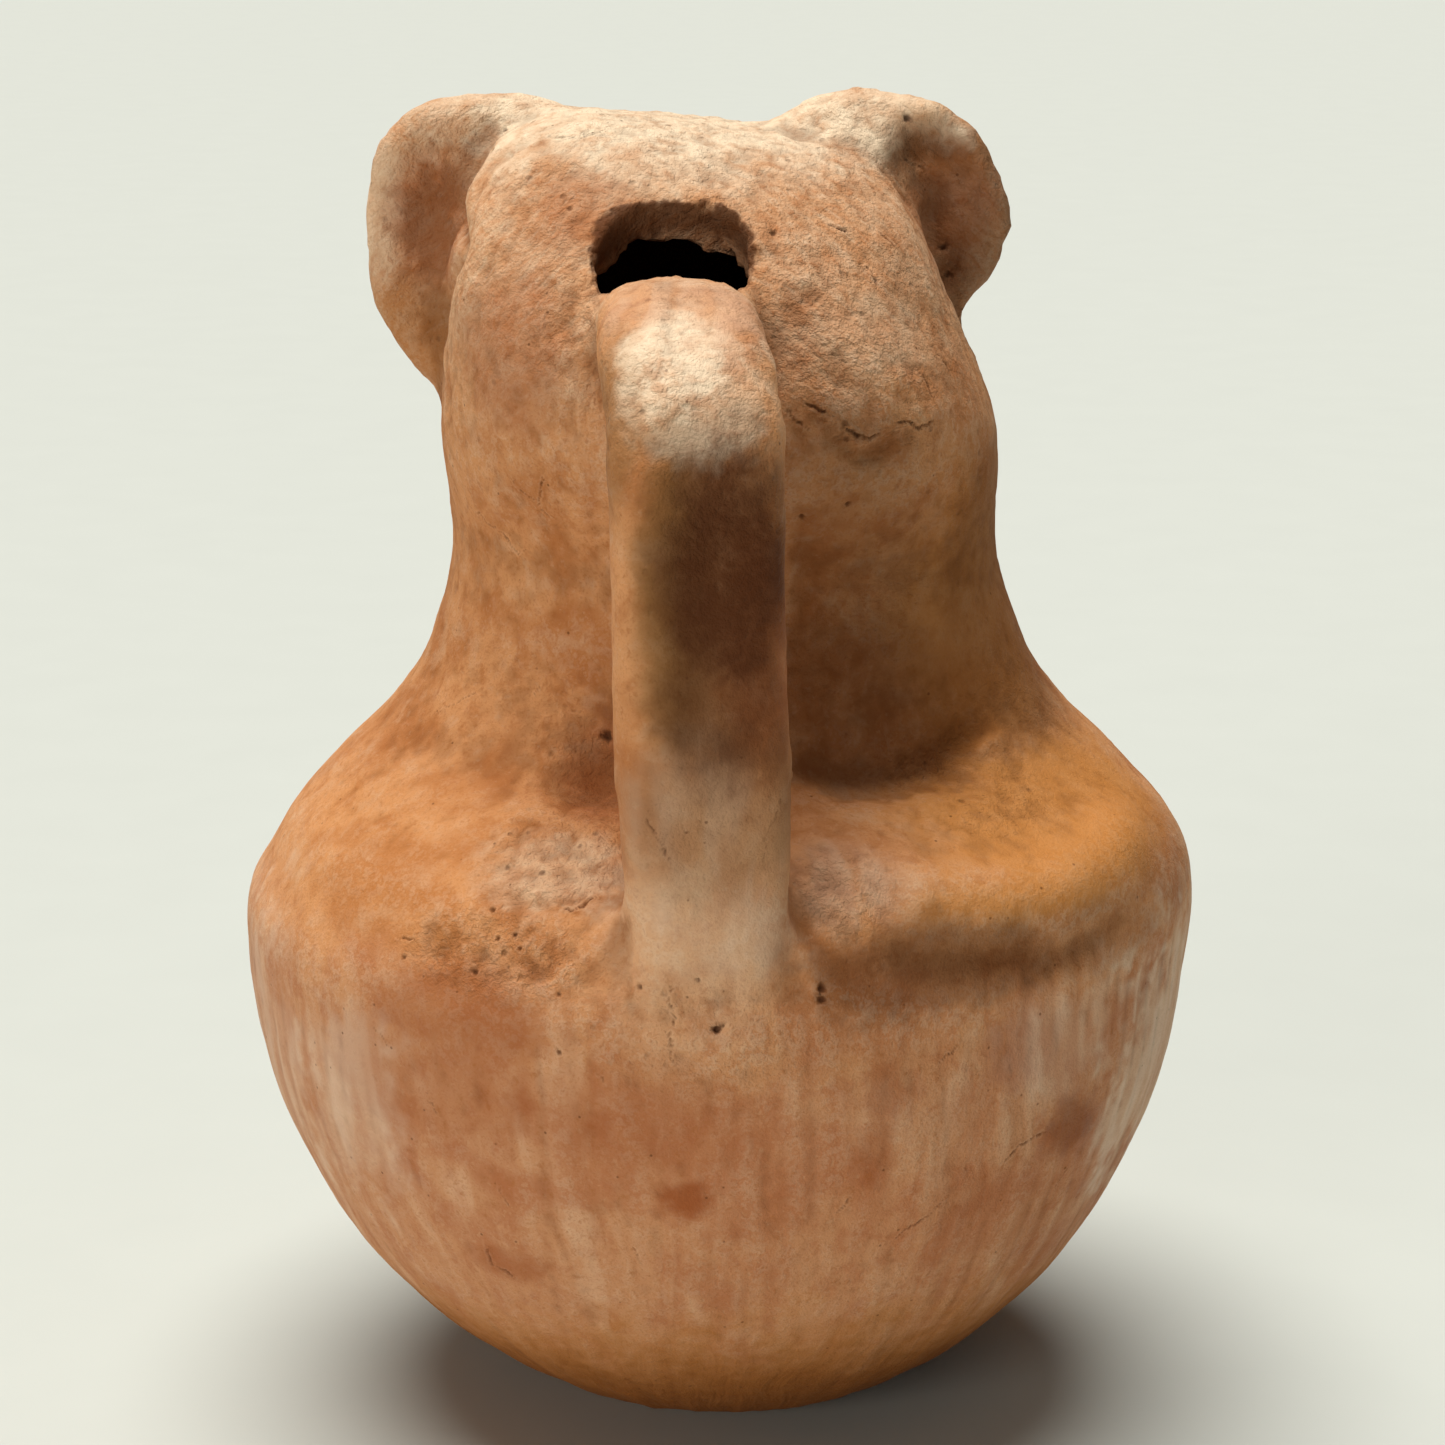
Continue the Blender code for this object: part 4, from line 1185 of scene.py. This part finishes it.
def fired_clay(clay):
    """Fired clay: mottled orange-brown, sandy on the head, with pink burnished slip on the bowl."""
    material, tree, shader = new_material("fired_clay")
    maps = clay_maps(tree, clay)
    feed(tree, shader.inputs["Base Color"], clay_colour(tree, clay, maps))
    burnish = product(tree, maps["slip"], span(tree, maps["streaks"], 0.35, 0.65, 0.4, 1.0))
    rough = calc(tree, "MULTIPLY_ADD", burnish, BURNISH_ADDS, CLAY_ROUGHNESS)
    rough = calc(tree, "MULTIPLY_ADD", maps["handle"], HANDLING_ADDS, rough)
    uneven = calc(tree, "SUBTRACT", maps["sandy"], 0.5)
    rough = calc(tree, "MULTIPLY_ADD", uneven, SAND_ADDS, rough, clamp=True)
    feed(tree, shader.inputs["Roughness"], rough)
    shader.inputs["Specular IOR Level"].default_value = CLAY_SHINE
    height = clay_height(tree, maps)
    bump = new_node(tree, "ShaderNodeBump", {"Strength": 1.0, "Distance": MM, "Height": height})
    feed(tree, shader.inputs["Normal"], bump.outputs[0])
    return material


class JAR_OT_stage(Operator):
    """Sets out the pale floor, the soft lights and the camera"""

    bl_idname = "effigy_jar.stage"
    bl_label = "Set the stage"

    def execute(self, context):
        stage = context.scene.effigy_jar_stage
        self.lay_floor(stage)
        for name, strength, (angle, spot) in (
            ("key_light", stage.key, KEY_LIGHT), ("side_light", stage.side, SIDE_LIGHT),
        ):
            light = bpy.data.lights.new(name, "SUN")
            light.energy = strength
            light.angle = math.radians(angle)
            light.color = LIGHT_COLOUR
            self.place(light, spot, (0, 0, 0))
        world = bpy.data.worlds.new("pale_room")
        world.use_nodes = True
        backdrop = world.node_tree.nodes["Background"]
        backdrop.inputs["Color"].default_value = ROOM_COLOUR
        backdrop.inputs["Strength"].default_value = stage.sky
        context.scene.world = world
        context.scene.view_settings.view_transform = "Standard"
        camera = bpy.data.cameras.new("camera")
        camera.sensor_width = 36
        camera.lens = stage.lens
        camera.clip_start = 0.05
        context.scene.camera = self.place(camera, CAMERA_SPOT, CAMERA_AIM)
        return {"FINISHED"}

    def lay_floor(self, stage):
        """Lays a wide floor, whose far end is beyond the view."""
        mesh = bmesh.new()
        bmesh.ops.create_grid(mesh, x_segments=1, y_segments=1, size=FLOOR_HALF_WIDTH)
        data = bpy.data.meshes.new("floor")
        mesh.to_mesh(data)
        mesh.free()
        floor = put_in("floor", data)
        material, tree, shader = new_material("pale_floor")
        place = new_node(tree, "ShaderNodeTexCoord").outputs["Object"]
        dim = tuple(channel * 0.96 for channel in stage.floor)
        soft = tinted(tree, tuple(stage.floor), dim, grain_noise(tree, place, 30 * MM, 3, 0.5))
        feed(tree, shader.inputs["Base Color"], soft)
        shader.inputs["Roughness"].default_value = 0.8
        data.materials.append(material)

    def place(self, data, spot, aim):
        """Puts a light or a camera at a spot and turns it to look at a point."""
        holder = put_in(data.name, data)
        holder.location = spot
        holder.rotation_euler = (Vector(aim) - Vector(spot)).to_track_quat("-Z", "Y").to_euler()
        return holder


class JAR_PT_sidebar(Panel):
    """Lists the jar's sizes and colours and the steps that make it"""

    bl_label = "Effigy jar"
    bl_idname = "JAR_PT_sidebar"
    bl_space_type = "VIEW_3D"
    bl_region_type = "UI"
    bl_category = "Effigy jar"

    def draw(self, context):
        for settings in (context.scene.effigy_jar_clay, context.scene.effigy_jar_stage):
            column = self.layout.column()
            for name in settings.__annotations__:
                column.prop(settings, name)
        self.layout.operator(JAR_OT_clay_jar.bl_idname)
        self.layout.operator(JAR_OT_stage.bl_idname)


CLASSES = (ClaySettings, StageSettings, JAR_OT_clay_jar, JAR_OT_stage, JAR_PT_sidebar)


def register():
    for made in CLASSES:
        bpy.utils.register_class(made)
    bpy.types.Scene.effigy_jar_clay = PointerProperty(type=ClaySettings)
    bpy.types.Scene.effigy_jar_stage = PointerProperty(type=StageSettings)


def unregister():
    del bpy.types.Scene.effigy_jar_stage
    del bpy.types.Scene.effigy_jar_clay
    for made in reversed(CLASSES):
        bpy.utils.unregister_class(made)


def main():
    register()
    bpy.ops.effigy_jar.clay_jar()
    bpy.ops.effigy_jar.stage()


if __name__ == "__main__":
    main()
